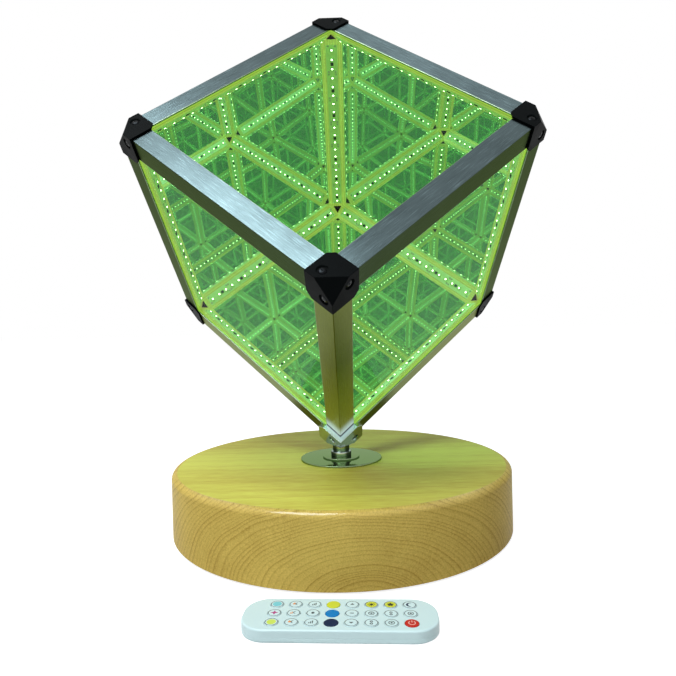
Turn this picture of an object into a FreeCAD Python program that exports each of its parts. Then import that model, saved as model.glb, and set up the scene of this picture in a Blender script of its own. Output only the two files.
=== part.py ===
import FreeCAD, Part
import math
import os
import Sketcher

# An infinity-mirror cube lamp. Twelve aluminium bars and eight corner pieces hold six two-way
# mirrors, the cube stands on one corner over a round wooden base, and its hand-held remote
# control lies in front. Millimetres, +Z up, the origin at the middle of the base's underside,
# -Y towards the front.

V = FreeCAD.Vector
TURN = 2 * math.pi

doc = FreeCAD.newDocument("led_cube_lamp")
sheet = doc.addObject("Spreadsheet::Sheet", "Sizes")
nodes = []


class Size:
    """A length or a count that knows its value and the expression it comes from."""

    def __init__(self, value, text):
        self.value = float(value)
        self.text = text

    def join(self, other, sign, value):
        return Size(value, f"({self.text} {sign} {as_size(other).text})")

    def __float__(self):
        return self.value

    def __add__(self, other):
        return self.join(other, "+", self.value + float(other))

    def __sub__(self, other):
        return self.join(other, "-", self.value - float(other))

    def __mul__(self, other):
        return self.join(other, "*", self.value * float(other))

    def __truediv__(self, other):
        return self.join(other, "/", self.value / float(other))

    def __rmul__(self, other):
        return self * other

    def __radd__(self, other):
        return self + other

    def __rsub__(self, other):
        return as_size(other) - self

    def __neg__(self):
        return Size(-self.value, f"(-1 * {self.text})")


def as_size(number):
    return number if isinstance(number, Size) else Size(number, f"{float(number):.9f}")


def size(name, value, note):
    """One driving dimension: a row of the sheet with its name, number and meaning."""
    row = sheet_rows.setdefault(name, len(sheet_rows) + 1)
    sheet.set(f"A{row}", name)
    sheet.set(f"B{row}", str(value))
    sheet.set(f"C{row}", note)
    sheet.setAlias(f"B{row}", name)
    return Size(value, f"Sizes.{name}")


sheet_rows = {}

# The mirror cube
cube_edge = size("cube_edge", 210, "outer edge of the cube, ridge to ridge")
bar_width = size("bar_width", 16, "width of each outer face of an edge bar")
bar_wall = size("bar_wall", 1.2, "outer wall of the bar's extrusion")
shelf_wall = size("shelf_wall", 1.2, "wall of the sloping shelf that carries the lights")
bar_start = size("bar_start", 12, "from the cube's corner point to a bar's square end")
groove_depth = size("groove_depth", 4, "how deep the bar's groove takes the mirror's edge")
mirror_thick = size("mirror_thick", 2, "thickness of a two-way mirror")
mirror_play = size("mirror_play", 0.1, "play on each side of a mirror in its groove")
mitre_gap = size("mitre_gap", 0.1, "gap between two bars' mitred tips")
plug_play = size("plug_play", 0.15, "play of a corner piece's plug in the bar")
plug_length = size("plug_length", 30, "end of a plug, from the cube's corner point")

# The corner pieces, seven moulded caps and the metal one at the foot
cap_skin = size("cap_skin", 1.5, "how far a cap stands proud of the bars")
cap_leg = size("cap_leg", 20, "length of a cap's leg, from the cube's corner point")
cap_cut = size("cap_cut", 12, "where the cap's blunt face cuts its ridges")
foot_skin = size("foot_skin", 4.2, "how far the metal corner stands proud of the bars")
foot_leg = size("foot_leg", 22, "length of a leg of the metal corner")
foot_cut = size("foot_cut", 12.3, "where the metal corner's blunt face cuts its ridges")
web_reach = size("web_reach", 13.1, "where a corner's inner web meets the shelves")
screw_along = size("screw_along", 12.5, "corner screw, distance along the leg")
screw_across = size("screw_across", 5.5, "corner screw, distance across the leg")
sink_width = size("sink_width", 6.8, "diameter of the recess over a corner screw")
sink_depth = size("sink_depth", 1, "depth of the recess over a corner screw")

# The lights
tape_width = size("tape_width", 10, "width of the light tape")
tape_thick = size("tape_thick", 0.3, "thickness of the light tape")
tape_segment = size("tape_segment", 25, "length of one cuttable piece of tape, three lights")
segment_count = size("segment_count", 7, "pieces of tape on each bar")
light_side = size("light_side", 3.5, "side of one light")
light_high = size("light_high", 0.9, "height of one light")
LIGHTS_PER_SEGMENT = 3
SINK_SIDES = 8
KEY_SIDES = 12
HIDDEN_SIDES = 20
PAD_SIDES = 48

# The wooden base
base_width = size("base_width", 276, "diameter of the base")
base_high = size("base_high", 50, "height of the base's top above the table")
base_bevel = size("base_bevel", 2.8, "bevel round the base's top edge")
pad_thick = size("pad_thick", 1.5, "thickness of the soft pad under the base")
pad_margin = size("pad_margin", 6, "from the pad's edge to the base's side")
hollow_width = size("hollow_width", 200, "diameter of the hollow for the electronics")
top_thick = size("top_thick", 16, "wood left above the hollow")

# The stem
rise = size("rise", 9.2, "from the base's top to the cube's lowest corner point")
flange_width = size("flange_width", 68, "diameter of the flange disc")
flange_thick = size("flange_thick", 1.6, "thickness of the flange disc")
boss_width = size("boss_width", 31, "diameter of the raised middle of the flange")
boss_high = size("boss_high", 1.2, "height of the raised middle of the flange")
pipe_width = size("pipe_width", 10, "outer diameter of the stem pipe")
pipe_bore = size("pipe_bore", 6.5, "bore of the stem pipe")
pipe_below = size("pipe_below", 8, "length of pipe inside the base's hollow")
collar_width = size("collar_width", 17, "diameter of the collar")
collar_high = size("collar_high", 3.8, "height of the collar")
sleeve_width = size("sleeve_width", 14, "diameter of the sleeve below the cube")
spigot_width = size("spigot_width", 12, "diameter of the sleeve's end in the metal corner")
spigot_long = size("spigot_long", 5, "how far the sleeve goes into the metal corner")
turn_gap = size("turn_gap", 0.3, "gap between the turning cube and what stands still")
turn_play = size("turn_play", 0.05, "radial play of the sleeve on the pipe")
clip_width = size("clip_width", 11.4, "diameter of the clip on the pipe's end")
clip_thick = size("clip_thick", 1, "thickness of the clip")
nut_flats = size("nut_flats", 17, "width across flats of the nut under the base's top")
nut_high = size("nut_high", 5, "height of that nut")

# The electronics in the base
inlet_high = size("inlet_high", 20, "height of the power inlet above the table")
recess_width = size("recess_width", 16, "diameter of the recess for the power plug")
recess_deep = size("recess_deep", 12, "depth of that recess")
inlet_wall = size("inlet_wall", 5, "wood that the inlet is clamped on")
inlet_width = size("inlet_width", 12, "diameter of the inlet's body")
inlet_long = size("inlet_long", 20, "length of the inlet's body")
inlet_rim = size("inlet_rim", 14.4, "diameter of the inlet's rim")
inlet_rim_thick = size("inlet_rim_thick", 1.5, "thickness of the inlet's rim")
socket_bore = size("socket_bore", 5.6, "bore of the inlet's socket")
socket_deep = size("socket_deep", 10, "depth of the inlet's socket")
socket_pin = size("socket_pin", 2, "diameter of the inlet's centre pin")
inlet_room = size("inlet_room", 24, "diameter of the room behind the inlet")
board_long = size("board_long", 70, "length of the controller board")
board_wide = size("board_wide", 44, "width of the controller board")
board_thick = size("board_thick", 1.6, "thickness of the controller board")
post_side = size("post_side", 4, "side of the posts that hold the board")
terminal_side = size("terminal_side", 8, "side of a cable terminal")
lead_width = size("lead_width", 4.5, "diameter of the lead up the stem")
lead_inside = size("lead_inside", 3, "how far the lead stands out of the pipe's top")

# The remote control
remote_long = size("remote_long", 105, "length of the remote")
remote_wide = size("remote_wide", 33.4, "width of the remote")
remote_high = size("remote_high", 7, "height of the remote")
remote_corner = size("remote_corner", 14, "corner radius of the remote")
remote_bevel = size("remote_bevel", 0.9, "bevel round the remote's upper and lower edges")
remote_wall = size("remote_wall", 1.3, "side wall of the remote's shells")
remote_face = size("remote_face", 1.2, "thickness of the remote's face")
remote_split = size("remote_split", 2.6, "height of the joint between the two shells")
remote_front = size("remote_front", 172, "from the stem's axis to the middle of the remote")
REMOTE_TURN = -2.5
key_width = size("key_width", 7.5, "diameter of a key")
key_gap = size("key_gap", 0.2, "gap round a key")
key_proud = size("key_proud", 0.3, "how far a key stands out of the face")
key_flange = size("key_flange", 0.6, "how far a key's foot reaches past the key")
key_flange_thick = size("key_flange_thick", 0.5, "thickness of a key's foot")
key_pitch_long = size("key_pitch_long", 10.45, "from key to key along the remote")
key_pitch_wide = size("key_pitch_wide", 9.3, "from key to key across the remote")
key_shift = size("key_shift", 1.3, "how far the keys lie off the middle")
small_play = size("small_play", 0.1, "play between small pieces that sit in each other")
card_thick = size("card_thick", 0.8, "thickness of the remote's circuit board")
cell_width = size("cell_width", 20, "diameter of the button cell")
cell_high = size("cell_high", 2.5, "height of the button cell")
door_thick = size("door_thick", 1.1, "thickness of the battery door")
door_long = size("door_long", 28.5, "length of the battery door")
door_grip = size("door_grip", 2, "width of the battery door's thumb groove")
KEY_ROWS = ("far", "middle", "near")
KEY_COLUMNS = 8


def bind(thing, prop, length):
    """Set a property from a size, or from a plain number."""
    if isinstance(length, Size):
        thing.setExpression(prop, length.text)
    else:
        setattr(thing, prop, length)


def new_body(name):
    return doc.addObject("PartDesign::Body", name)


def new_sketch(body, plane, lift=None):
    """A sketch on one of the body's own planes, lifted along the plane's normal."""
    sketch = body.newObject("Sketcher::SketchObject", body.Name + "_sketch")
    face = [f for f in body.Origin.OriginFeatures if f.Role == plane][0]
    sketch.AttachmentSupport = [(face, "")]
    sketch.MapMode = "FlatFace"
    if lift is not None:
        bind(sketch, "AttachmentOffset.Base.z", as_size(lift))
    return sketch


def slanted_sketch(body, distance):
    """A sketch square to the body's (1, 1, 1) diagonal, where x + y + z is the distance."""
    sketch = new_sketch(body, "XY_Plane")
    turn = FreeCAD.Rotation(V(0, 0, 1), V(1, 1, 1))
    sketch.AttachmentOffset = FreeCAD.Placement(V(0, 0, 0), turn)
    for axis in "xyz":
        bind(sketch, f"AttachmentOffset.Base.{axis}", distance / 3)
    return sketch


def hold(sketch, geometry, point, x, y):
    """Tie a point of the sketch to its two coordinates."""
    for kind, length in (("DistanceX", x), ("DistanceY", y)):
        label = f"{kind}{sketch.ConstraintCount}"
        number = sketch.addConstraint(
            Sketcher.Constraint(kind, -1, 1, geometry, point, float(length)))
        sketch.renameConstraint(number, label)
        if isinstance(length, Size):
            sketch.setExpression(f"Constraints.{label}", length.text)


def outline(sketch, corners):
    """A closed outline of straight lines through the corners."""
    first = sketch.GeometryCount
    count = len(corners)
    for number, (x, y) in enumerate(corners):
        to_x, to_y = corners[(number + 1) % count]
        line = Part.LineSegment(V(float(x), float(y), 0), V(float(to_x), float(to_y), 0))
        sketch.addGeometry(line, False)
    for number in range(count):
        after = first + (number + 1) % count
        sketch.addConstraint(Sketcher.Constraint("Coincident", first + number, 2, after, 1))
    for number, (x, y) in enumerate(corners):
        hold(sketch, first + number, 1, x, y)
    return sketch


def circle(sketch, x, y, width):
    """A circle of the given diameter."""
    number = sketch.addGeometry(
        Part.Circle(V(float(x), float(y), 0), V(0, 0, 1), float(width) / 2), False)
    hold(sketch, number, 3, x, y)
    label = f"Diameter{sketch.ConstraintCount}"
    held = sketch.addConstraint(Sketcher.Constraint("Diameter", number, float(width)))
    sketch.renameConstraint(held, label)
    if isinstance(width, Size):
        sketch.setExpression(f"Constraints.{label}", width.text)
    return sketch


def few_sided(sketch, x, y, width, sides):
    """A round drawn with a few sides, for what repeats many times or lies hidden."""
    corners = []
    for number in range(sides):
        angle = TURN * (number + 0.5) / sides
        reach = width / (2 * math.cos(math.pi / sides))
        corners.append((x + math.cos(angle) * reach, y + math.sin(angle) * reach))
    return outline(sketch, corners)


def rounded_outline(sketch, long, wide, radius):
    """A rectangle with round corners about the sketch's middle."""
    quarter = math.pi / 2
    spots = ((1, 1), (-1, 1), (-1, -1), (1, -1))
    first = sketch.GeometryCount
    inner_x = long / 2 - radius
    inner_y = wide / 2 - radius
    for number, (side_x, side_y) in enumerate(spots):
        middle = V(side_x * float(inner_x), side_y * float(inner_y), 0)
        ring = Part.Circle(middle, V(0, 0, 1), float(radius))
        sketch.addGeometry(Part.ArcOfCircle(ring, number * quarter, (number + 1) * quarter), False)
    for number in range(len(spots)):
        start = sketch.Geometry[first + number].EndPoint
        end = sketch.Geometry[first + (number + 1) % len(spots)].StartPoint
        sketch.addGeometry(Part.LineSegment(start, end), False)
    for number, (side_x, side_y) in enumerate(spots):
        arc = first + number
        line = first + len(spots) + number
        after = first + (number + 1) % len(spots)
        sketch.addConstraint(Sketcher.Constraint("Tangent", arc, 2, line, 1))
        sketch.addConstraint(Sketcher.Constraint("Tangent", line, 2, after, 1))
        hold(sketch, arc, 3, side_x * inner_x, side_y * inner_y)
        label = f"Radius{number}"
        held = sketch.addConstraint(Sketcher.Constraint("Radius", arc, float(radius)))
        sketch.renameConstraint(held, label)
        sketch.setExpression(f"Constraints.{label}", radius.text)
    return sketch


def feature(body, kind, sketch, flip):
    """A feature from a sketch; flip turns it to the sketch's other side."""
    made = body.newObject(f"PartDesign::{kind}", f"{body.Name}_{kind}")
    made.Profile = sketch
    made.Reversed = flip
    made.Refine = True
    return made


def pad(body, sketch, length, flip=False):
    made = feature(body, "Pad", sketch, flip)
    bind(made, "Length", length)
    return made


def pocket(body, sketch, depth=None, flip=False):
    """Cut the sketch away, to a depth or right through."""
    made = feature(body, "Pocket", sketch, flip)
    if depth is None:
        made.Type = "ThroughAll"
    else:
        bind(made, "Length", depth)
    return made


def revolve(body, corners, plane="XZ_Plane"):
    """Turn an outline of (radius, height) corners round the body's Z axis."""
    sketch = outline(new_sketch(body, plane), corners)
    made = body.newObject("PartDesign::Revolution", body.Name + "_turned")
    made.Profile = sketch
    made.ReferenceAxis = (sketch, ["V_Axis"])
    made.Angle = 360
    return made


def ring(name, bore, width, low, high):
    body = new_body(name)
    revolve(body, [(bore / 2, low), (width / 2, low), (width / 2, high), (bore / 2, high)])
    return body


def dress(body, kind, base, prop, length, wanted):
    """A fillet or chamfer on those edges of the base that are wanted."""
    doc.recompute()
    names = [f"Edge{n}" for n, edge in enumerate(base.Shape.Edges, 1) if wanted(edge)]
    made = body.newObject(f"PartDesign::{kind}", f"{body.Name}_{kind}")
    made.Base = (base, names)
    bind(made, prop, length)
    return made


def edge_at(height, least_long=0, most_long=math.inf):
    """A test for edges that lie level at a height and whose length is within bounds."""
    def wanted(edge):
        box = edge.BoundBox
        level = abs(box.ZMin - float(height)) < 1e-4 and abs(box.ZMax - float(height)) < 1e-4
        return level and float(least_long) < edge.Length < float(most_long)
    return wanted


def keep(thing, name, place=None):
    """Make an object one of the lamp's named pieces, at its place."""
    thing.Label = name
    if place is not None:
        thing.Placement = place
    nodes.append(thing)
    return thing


def at(x, y, z, turn=None):
    return FreeCAD.Placement(V(float(x), float(y), float(z)), turn or FreeCAD.Rotation())


def group(name, pieces):
    """Several separate solids that share one name."""
    made = doc.addObject("Part::Compound", name)
    made.Links = pieces
    return keep(made, name)


def copy_of(thing, place):
    """The same piece again at another place."""
    made = doc.addObject("App::Link", thing.Name + "_copy")
    made.LinkedObject = thing
    made.Placement = place
    return made


# Where the cube is. It stands on one corner with its long diagonal upright, so that three
# edges rise from the foot at one slope: one to the front, one to each side at the back.
slope = math.atan(1 / math.sqrt(2))


def rising_edge(azimuth):
    heading = math.radians(azimuth)
    flat = math.cos(slope)
    return V(flat * math.cos(heading), flat * math.sin(heading), math.sin(slope))


FRONT_EDGE = rising_edge(-90)
RIGHT_EDGE = rising_edge(30)
LEFT_EDGE = rising_edge(150)
corner_height = base_high + rise
cube_place = at(0, 0, corner_height, FreeCAD.Rotation(FRONT_EDGE, RIGHT_EDGE, LEFT_EDGE, "XYZ"))
AXES = (V(1, 0, 0), V(0, 1, 0), V(0, 0, 1))


def corner_place(spot):
    """The frame at a corner of the cube: its three axes run inward along the edges."""
    inward = [AXES[n] * (-1 if spot[n] else 1) for n in range(3)]
    if sum(spot) % 2:
        inward[1], inward[2] = inward[2], inward[1]
    turn = FreeCAD.Rotation(inward[0], inward[1], inward[2], "XYZ")
    return cube_place * FreeCAD.Placement(V(*spot) * float(cube_edge), turn)


def edge_place(along, second, third):
    """The frame of an edge: Z along its ridge, X and Y inward across its two faces."""
    spot = [0, 0, 0]
    spot[(along + 1) % 3] = second
    spot[(along + 2) % 3] = third
    across = [AXES[(along + n) % 3] * (-1 if spot[(along + n) % 3] else 1) for n in (1, 2)]
    ridge = across[0].cross(across[1])
    spot[along] = 0 if ridge.dot(AXES[along]) > 0 else 1
    turn = FreeCAD.Rotation(across[0], across[1], ridge, "XYZ")
    return cube_place * FreeCAD.Placement(V(*spot) * float(cube_edge), turn)


# Edge bars. One aluminium extrusion, cut to twelve equal lengths: two outer faces at a right
# angle, a groove beside each for a mirror, and a sloping shelf inside for the light tape. The
# ends are square, with the inner tips mitred so that three bars meet at a corner.
mirror_seat = bar_wall
groove_wide = mirror_thick + 2 * mirror_play
groove_floor = bar_width - groove_depth
shelf_foot = bar_wall + groove_wide
shelf_sum = bar_width + shelf_foot
shelf_inner = shelf_sum - shelf_wall * math.sqrt(2)
chamber_near = bar_wall
chamber_far = groove_floor - bar_wall


def chamber_corners(play):
    """The bar's inner chamber, or a plug that goes into it with some play."""
    near = chamber_near + play
    far = chamber_far - play
    slant = shelf_inner - play * math.sqrt(2)
    return [(near, near), (far, near), (far, slant - far), (slant - far, far), (near, far)]


def bar_corners():
    return [(0, 0), (bar_width, 0), (bar_width, bar_wall), (groove_floor, bar_wall),
            (groove_floor, shelf_foot), (bar_width, shelf_foot), (shelf_foot, bar_width),
            (shelf_foot, groove_floor), (bar_wall, groove_floor), (bar_wall, bar_width),
            (0, bar_width)]


bar = new_body("bar_pattern")
section = new_sketch(bar, "XY_Plane", bar_start)
outline(section, bar_corners())
outline(section, chamber_corners(as_size(0)))
pad(bar, section, cube_edge - 2 * bar_start)
for plane in ("XZ_Plane", "YZ_Plane"):
    tips = new_sketch(bar, plane)
    wide = bar_width + mitre_gap
    outline(tips, [(bar_start - mitre_gap, bar_start), (wide, bar_start), (wide, wide + mitre_gap)])
    outline(tips, [(bar_start - mitre_gap, cube_edge - bar_start), (wide, cube_edge - bar_start),
                   (wide, cube_edge - wide - mitre_gap)])
    pocket(bar, tips, flip=plane == "YZ_Plane")

SIDES = ((0, 0), (0, 1), (1, 0), (1, 1))
edges = [(along, second, third) for along in range(3) for second, third in SIDES]
for name, ends in (("upper_bars", {2}), ("middle_bars", {1}), ("lower_bars", {0})):
    group(name, [copy_of(bar, edge_place(*edge)) for edge in edges if edge[1] + edge[2] in ends])


# Mirrors. Six equal square sheets of two-way mirror acrylic, each with its edges in the grooves
# of four bars, named by the way they face.
mirror_from = groove_floor + mirror_play * 3
mirror_side = cube_edge - 2 * mirror_from
for number, (name, high) in enumerate(
        (("upper_front", 1), ("upper_right", 1), ("upper_left", 1),
         ("lower_back", 0), ("lower_left", 0), ("lower_right", 0))):
    across = number % 3
    mirror = doc.addObject("Part::Box", "mirror_" + name)
    bind(mirror, "Length", mirror_side)
    bind(mirror, "Width", mirror_side)
    bind(mirror, "Height", mirror_thick)
    turn = FreeCAD.Rotation(AXES[(across + 1) % 3], AXES[(across + 2) % 3], AXES[across], "XYZ")
    depth = mirror_seat + mirror_play
    if high:
        depth = cube_edge - depth - mirror_thick
    low = [float(mirror_from)] * 3
    low[across] = float(depth)
    keep(mirror, "mirror_" + name, cube_place * FreeCAD.Placement(V(*low), turn))


# Corner pieces. Each has three skins over the bars' outer faces, a block between the bars' ends,
# a plug into each bar's chamber, an inner web that closes the corner between the shelves, a
# blunt face across its point, and in each skin the sunk seat of a small screw.
INWARD = (("XY_Plane", False), ("YZ_Plane", False), ("XZ_Plane", True))


def corner_piece(name, skin, leg, cut, left_handed):
    body = new_body(name)
    web_low = shelf_foot + plug_play
    web = outline(new_sketch(body, "XY_Plane", web_low),
                  [(web_low, web_low), (web_reach, web_low), (web_reach, web_reach),
                   (web_low, web_reach)])
    pad(body, web, web_reach - web_low)
    clear = shelf_sum + plug_play
    for plane, flip in INWARD:
        under_shelf = outline(new_sketch(body, plane), [(0, 0), (clear, 0), (0, clear)])
        pocket(body, under_shelf, flip=not flip)
    beyond = circle(slanted_sketch(body, shelf_sum + web_reach), 0, 0, 4 * bar_width)
    pocket(body, beyond, flip=True)
    block = bar_start - mitre_gap
    square = [(0, 0), (block, 0), (block, block), (0, block)]
    pad(body, outline(new_sketch(body, "XY_Plane"), square), block)
    edge = -skin
    for plane, flip in INWARD:
        face = [(edge, edge), (leg, edge), (leg, bar_width), (bar_width, leg), (edge, leg)]
        pad(body, outline(new_sketch(body, plane), face), skin, not flip)
        pad(body, outline(new_sketch(body, plane), chamber_corners(plug_play)), plug_length, flip)
    blunt = circle(slanted_sketch(body, cut - 2 * skin), 0, 0, 6 * leg)
    pocket(body, blunt)
    spot = [screw_along, screw_across]
    for plane, flip in INWARD:
        across, along = spot if (plane == "XZ_Plane") != left_handed else reversed(spot)
        outside = skin if flip else -skin
        sunk = few_sided(new_sketch(body, plane, outside), across, along, sink_width, SINK_SIDES)
        pocket(body, sunk, sink_depth, not flip)
    return body


CORNERS = (
    ("cap_top", (1, 1, 1)),
    ("cap_upper_left", (1, 0, 1)),
    ("cap_upper_right", (1, 1, 0)),
    ("cap_upper_back", (0, 1, 1)),
    ("cap_lower_front", (1, 0, 0)),
    ("cap_lower_right", (0, 1, 0)),
    ("cap_lower_left", (0, 0, 1)),
)
cap = corner_piece("cap_pattern", cap_skin, cap_leg, cap_cut, True)
for name, spot in CORNERS:
    group(name, [copy_of(cap, corner_place(spot))])

# The metal corner is a thicker casting of the same form, bored along the cube's diagonal for
# the sleeve's end, the clip and the lead.
root3 = math.sqrt(3)
foot_face = foot_cut - 2 * foot_skin
pipe_top = corner_height + foot_face / root3 + spigot_long + turn_gap + 2 * clip_thick
foot = corner_piece("foot_corner", foot_skin, foot_leg, foot_cut, False)
bore_long = spigot_long + turn_gap + 2 * clip_thick + lead_inside + turn_gap
pocket(foot, circle(slanted_sketch(foot, foot_face), 0, 0, spigot_width), bore_long, True)
keep(foot, "foot_corner", corner_place((0, 0, 0)))


# Light tapes. Each bar's shelf carries one length of tape, made of equal cuttable pieces with
# three lights each.
tape_long = tape_segment * segment_count
tape = doc.addObject("Part::Box", "tape_pattern")
bind(tape, "Length", tape_width)
bind(tape, "Width", tape_long)
bind(tape, "Height", tape_thick)
level = AXES[1] - AXES[0]
level.normalize()
uphill = AXES[0] + AXES[1]
uphill.normalize()
on_shelf = FreeCAD.Rotation(level, AXES[2], uphill, "ZYX")


def tape_place(edge, across, along, lift):
    """A place on an edge's shelf: across the tape, along the bar and above the shelf."""
    spot = uphill * float(shelf_sum / math.sqrt(2) + lift) + level * float(across)
    spot = spot + AXES[2] * float(along)
    return edge_place(*edge) * FreeCAD.Placement(spot, on_shelf)


tape_from = (cube_edge - tape_long) / 2
group("light_tapes", [copy_of(tape, tape_place(edge, -tape_width / 2, tape_from, as_size(0)))
                      for edge in edges])
light_pitch = tape_segment / LIGHTS_PER_SEGMENT
lights = []
for edge in edges:
    for number in range(int(float(segment_count)) * LIGHTS_PER_SEGMENT):
        along = tape_from + light_pitch * (number + 0.5) - light_side / 2
        light = Part.makeBox(float(light_side), float(light_side), float(light_high))
        light.Placement = tape_place(edge, -light_side / 2, along, tape_thick)
        lights.append(light)
chips = doc.addObject("Part::Feature", "lights")
chips.Shape = Part.makeCompound(lights)
keep(chips, "lights")


# Wooden base. A disc turned from one thick board, with its top edge eased, hollowed from below
# for the electronics, and bored for the stem pipe and the power inlet.
hollow_top = base_high - top_thick
base_radius = base_width / 2
wood = new_body("wooden_base")
revolve(wood, [
    (pipe_width / 2, hollow_top), (hollow_width / 2, hollow_top), (hollow_width / 2, pad_thick),
    (base_radius, pad_thick), (base_radius, base_high - base_bevel),
    (base_radius - base_bevel, base_high), (pipe_width / 2, base_high)])
recess_floor = base_radius - recess_deep
rim_seat = recess_floor - inlet_rim_thick
room_floor = rim_seat - inlet_wall
seat_width = inlet_rim + 2 * small_play
pocket(wood, circle(new_sketch(wood, "XZ_Plane", -recess_floor), 0, inlet_high, recess_width))
pocket(wood, circle(new_sketch(wood, "XZ_Plane", -rim_seat), 0, inlet_high, seat_width),
       inlet_rim_thick)
pocket(wood, circle(new_sketch(wood, "XZ_Plane", -room_floor), 0, inlet_high, inlet_width),
       inlet_wall)
pocket(wood, circle(new_sketch(wood, "XZ_Plane", -room_floor), 0, inlet_high, inlet_room),
       room_floor - hollow_width / 4, True)
keep(wood, "wooden_base")

# Soft pad, stuck under the base, where it also closes the hollow.
soft_pad = new_body("base_pad")
pad(soft_pad, few_sided(new_sketch(soft_pad, "XY_Plane"), 0, 0, base_width - 2 * pad_margin,
                        PAD_SIDES), pad_thick)
keep(soft_pad, "base_pad")


# Stem. A threaded pipe is clamped through the base by a nut below and the collar above the
# flange. The sleeve under the cube turns on the pipe, and a clip on the pipe's end holds it.
flange_top = base_high + flange_thick
boss_top = flange_top + boss_high
flange = new_body("flange")
revolve(flange, [
    (pipe_width / 2, base_high), (flange_width / 2, base_high), (flange_width / 2, flange_top),
    (boss_width / 2, flange_top), (boss_width / 2, boss_top), (pipe_width / 2, boss_top)])
keep(flange, "flange")

collar_top = boss_top + collar_high
collar = ring("collar", pipe_width, collar_width, boss_top, collar_top)
keep(collar, "collar")

pipe_foot = hollow_top - pipe_below
pipe = ring("stem_pipe", pipe_bore, pipe_width, pipe_foot, pipe_top)
keep(pipe, "stem_pipe")

sleeve = new_body("stem_sleeve")
sleeve_foot = collar_top + turn_gap
foot_level = corner_height + foot_face / root3
spigot_top = foot_level + spigot_long
sleeve_bore = pipe_width / 2 + turn_play
revolve(sleeve, [
    (sleeve_bore, sleeve_foot), (sleeve_width / 2, sleeve_foot), (sleeve_width / 2, foot_level),
    (spigot_width / 2, foot_level), (spigot_width / 2, spigot_top), (sleeve_bore, spigot_top)])
keep(sleeve, "stem_sleeve")


# Fasteners that stay with the base: the nut under its top, the clip on the pipe's end and the
# inlet's nut.
def hex_nut(name, bore, flats, high):
    """A nut with its axis along Z and its lower face at zero."""
    prism = doc.addObject("Part::Prism", name + "_prism")
    prism.Polygon = 6
    bind(prism, "Circumradius", flats / root3)
    bind(prism, "Height", high)
    hole = doc.addObject("Part::Cylinder", name + "_hole")
    bind(hole, "Radius", bore / 2)
    bind(hole, "Height", high)
    nut = doc.addObject("Part::Cut", name)
    nut.Base = prism
    nut.Tool = hole
    return nut


to_back = FreeCAD.Rotation(V(1, 0, 0), -90)
stem_nut = hex_nut("stem_nut", pipe_width, nut_flats, nut_high)
stem_nut.Placement = at(0, 0, hollow_top - nut_high)
clip_foot = spigot_top + turn_gap
clip = ring("stem_clip", pipe_width, clip_width, clip_foot, clip_foot + clip_thick)
inlet_nut = hex_nut("inlet_nut", inlet_width, nut_flats, inlet_wall / 2)
inlet_nut.Placement = at(0, room_floor - inlet_wall / 2, inlet_high, to_back)
group("base_fasteners", [stem_nut, clip, inlet_nut])


# Power inlet, a round socket with a centre pin, screwed into the back of the base with its rim
# sunk in the recess's floor.
inlet = new_body("power_inlet")


def inlet_round(level, width):
    """A round of the inlet, drawn on a level of its axis."""
    return few_sided(new_sketch(inlet, "XY_Plane", level), 0, 0, width, HIDDEN_SIDES)


socket_floor = inlet_rim_thick - socket_deep
pad(inlet, inlet_round(-inlet_long, inlet_width - 2 * small_play), inlet_long)
pad(inlet, inlet_round(0, inlet_rim), inlet_rim_thick)
pocket(inlet, inlet_round(inlet_rim_thick, socket_bore), socket_deep)
pad(inlet, inlet_round(socket_floor, socket_pin), -socket_floor)
keep(inlet, "power_inlet", at(0, rim_seat, inlet_high, to_back))


# Controller. A board that hangs on four posts from the top of the hollow. Above it are the two
# cable terminals, below it the receiver for the remote, the switching chip and a capacitor.
def block(name, long, wide, high, x, y, z):
    """A box about (x, y) that stands on z."""
    made = doc.addObject("Part::Box", name)
    bind(made, "Length", long)
    bind(made, "Width", wide)
    bind(made, "Height", high)
    made.Placement = at(x - long / 2, y - wide / 2, z)
    return made


part_side = board_wide / 4
board_top = inlet_high - terminal_side / 2
board_low = board_top - board_thick
terminal_rear = (board_wide - terminal_side) / 2
pieces = [
    block("board", board_long, board_wide, board_thick, 0, 0, board_low),
    block("stem_terminal", terminal_side, terminal_side, terminal_side, 0, 0, board_top),
    block("inlet_terminal", terminal_side, terminal_side, terminal_side, 0, terminal_rear,
          board_top),
    block("receiver", part_side * 1.5, part_side, board_thick * 2, -board_long / 4, 0,
          board_low - board_thick * 2),
    block("chip", part_side, part_side, board_thick, 0, 0, board_low - board_thick),
    block("capacitor", part_side, part_side / 2, part_side / 2, board_long / 4, 0,
          board_low - part_side / 2)]
for side_x in (-1, 1):
    for side_y in (-1, 1):
        post_x = side_x * (board_long - post_side) / 2
        post_y = side_y * (board_wide - post_side) / 2
        pieces.append(block("board_post", post_side, post_side, hollow_top - board_top,
                            post_x, post_y, board_top))
group("controller", pieces)


# Leads inside the base: one from the board's middle terminal straight up the stem into the metal
# corner, one from the inlet to the board's rear terminal.
def lead(name, length):
    made = new_body(name)
    pad(made, few_sided(new_sketch(made, "XY_Plane"), 0, 0, lead_width, HIDDEN_SIDES), length)
    return made


terminal_top = board_top + terminal_side
inlet_back = rim_seat - inlet_long
stem_lead = lead("stem_lead", pipe_top + lead_inside - terminal_top)
stem_lead.Placement = at(0, 0, terminal_top)
inlet_lead = lead("inlet_lead", inlet_back - board_wide / 2)
inlet_lead.Placement = at(0, board_wide / 2, inlet_high, to_back)
group("inner_leads", [stem_lead, inlet_lead])


# Remote control. Two moulded shells with rounded ends, a circuit board, a button cell behind a
# sliding door, and three rows of round keys.
remote_place = at(0, -remote_front, 0, FreeCAD.Rotation(V(0, 0, 1), REMOTE_TURN))
face_low = remote_high - remote_face
inner_long = remote_long - 2 * remote_wall
inner_wide = remote_wide - 2 * remote_wall
inner_corner = remote_corner - remote_wall
first_key = key_shift - key_pitch_long * (KEY_COLUMNS - 1) / 2


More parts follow.
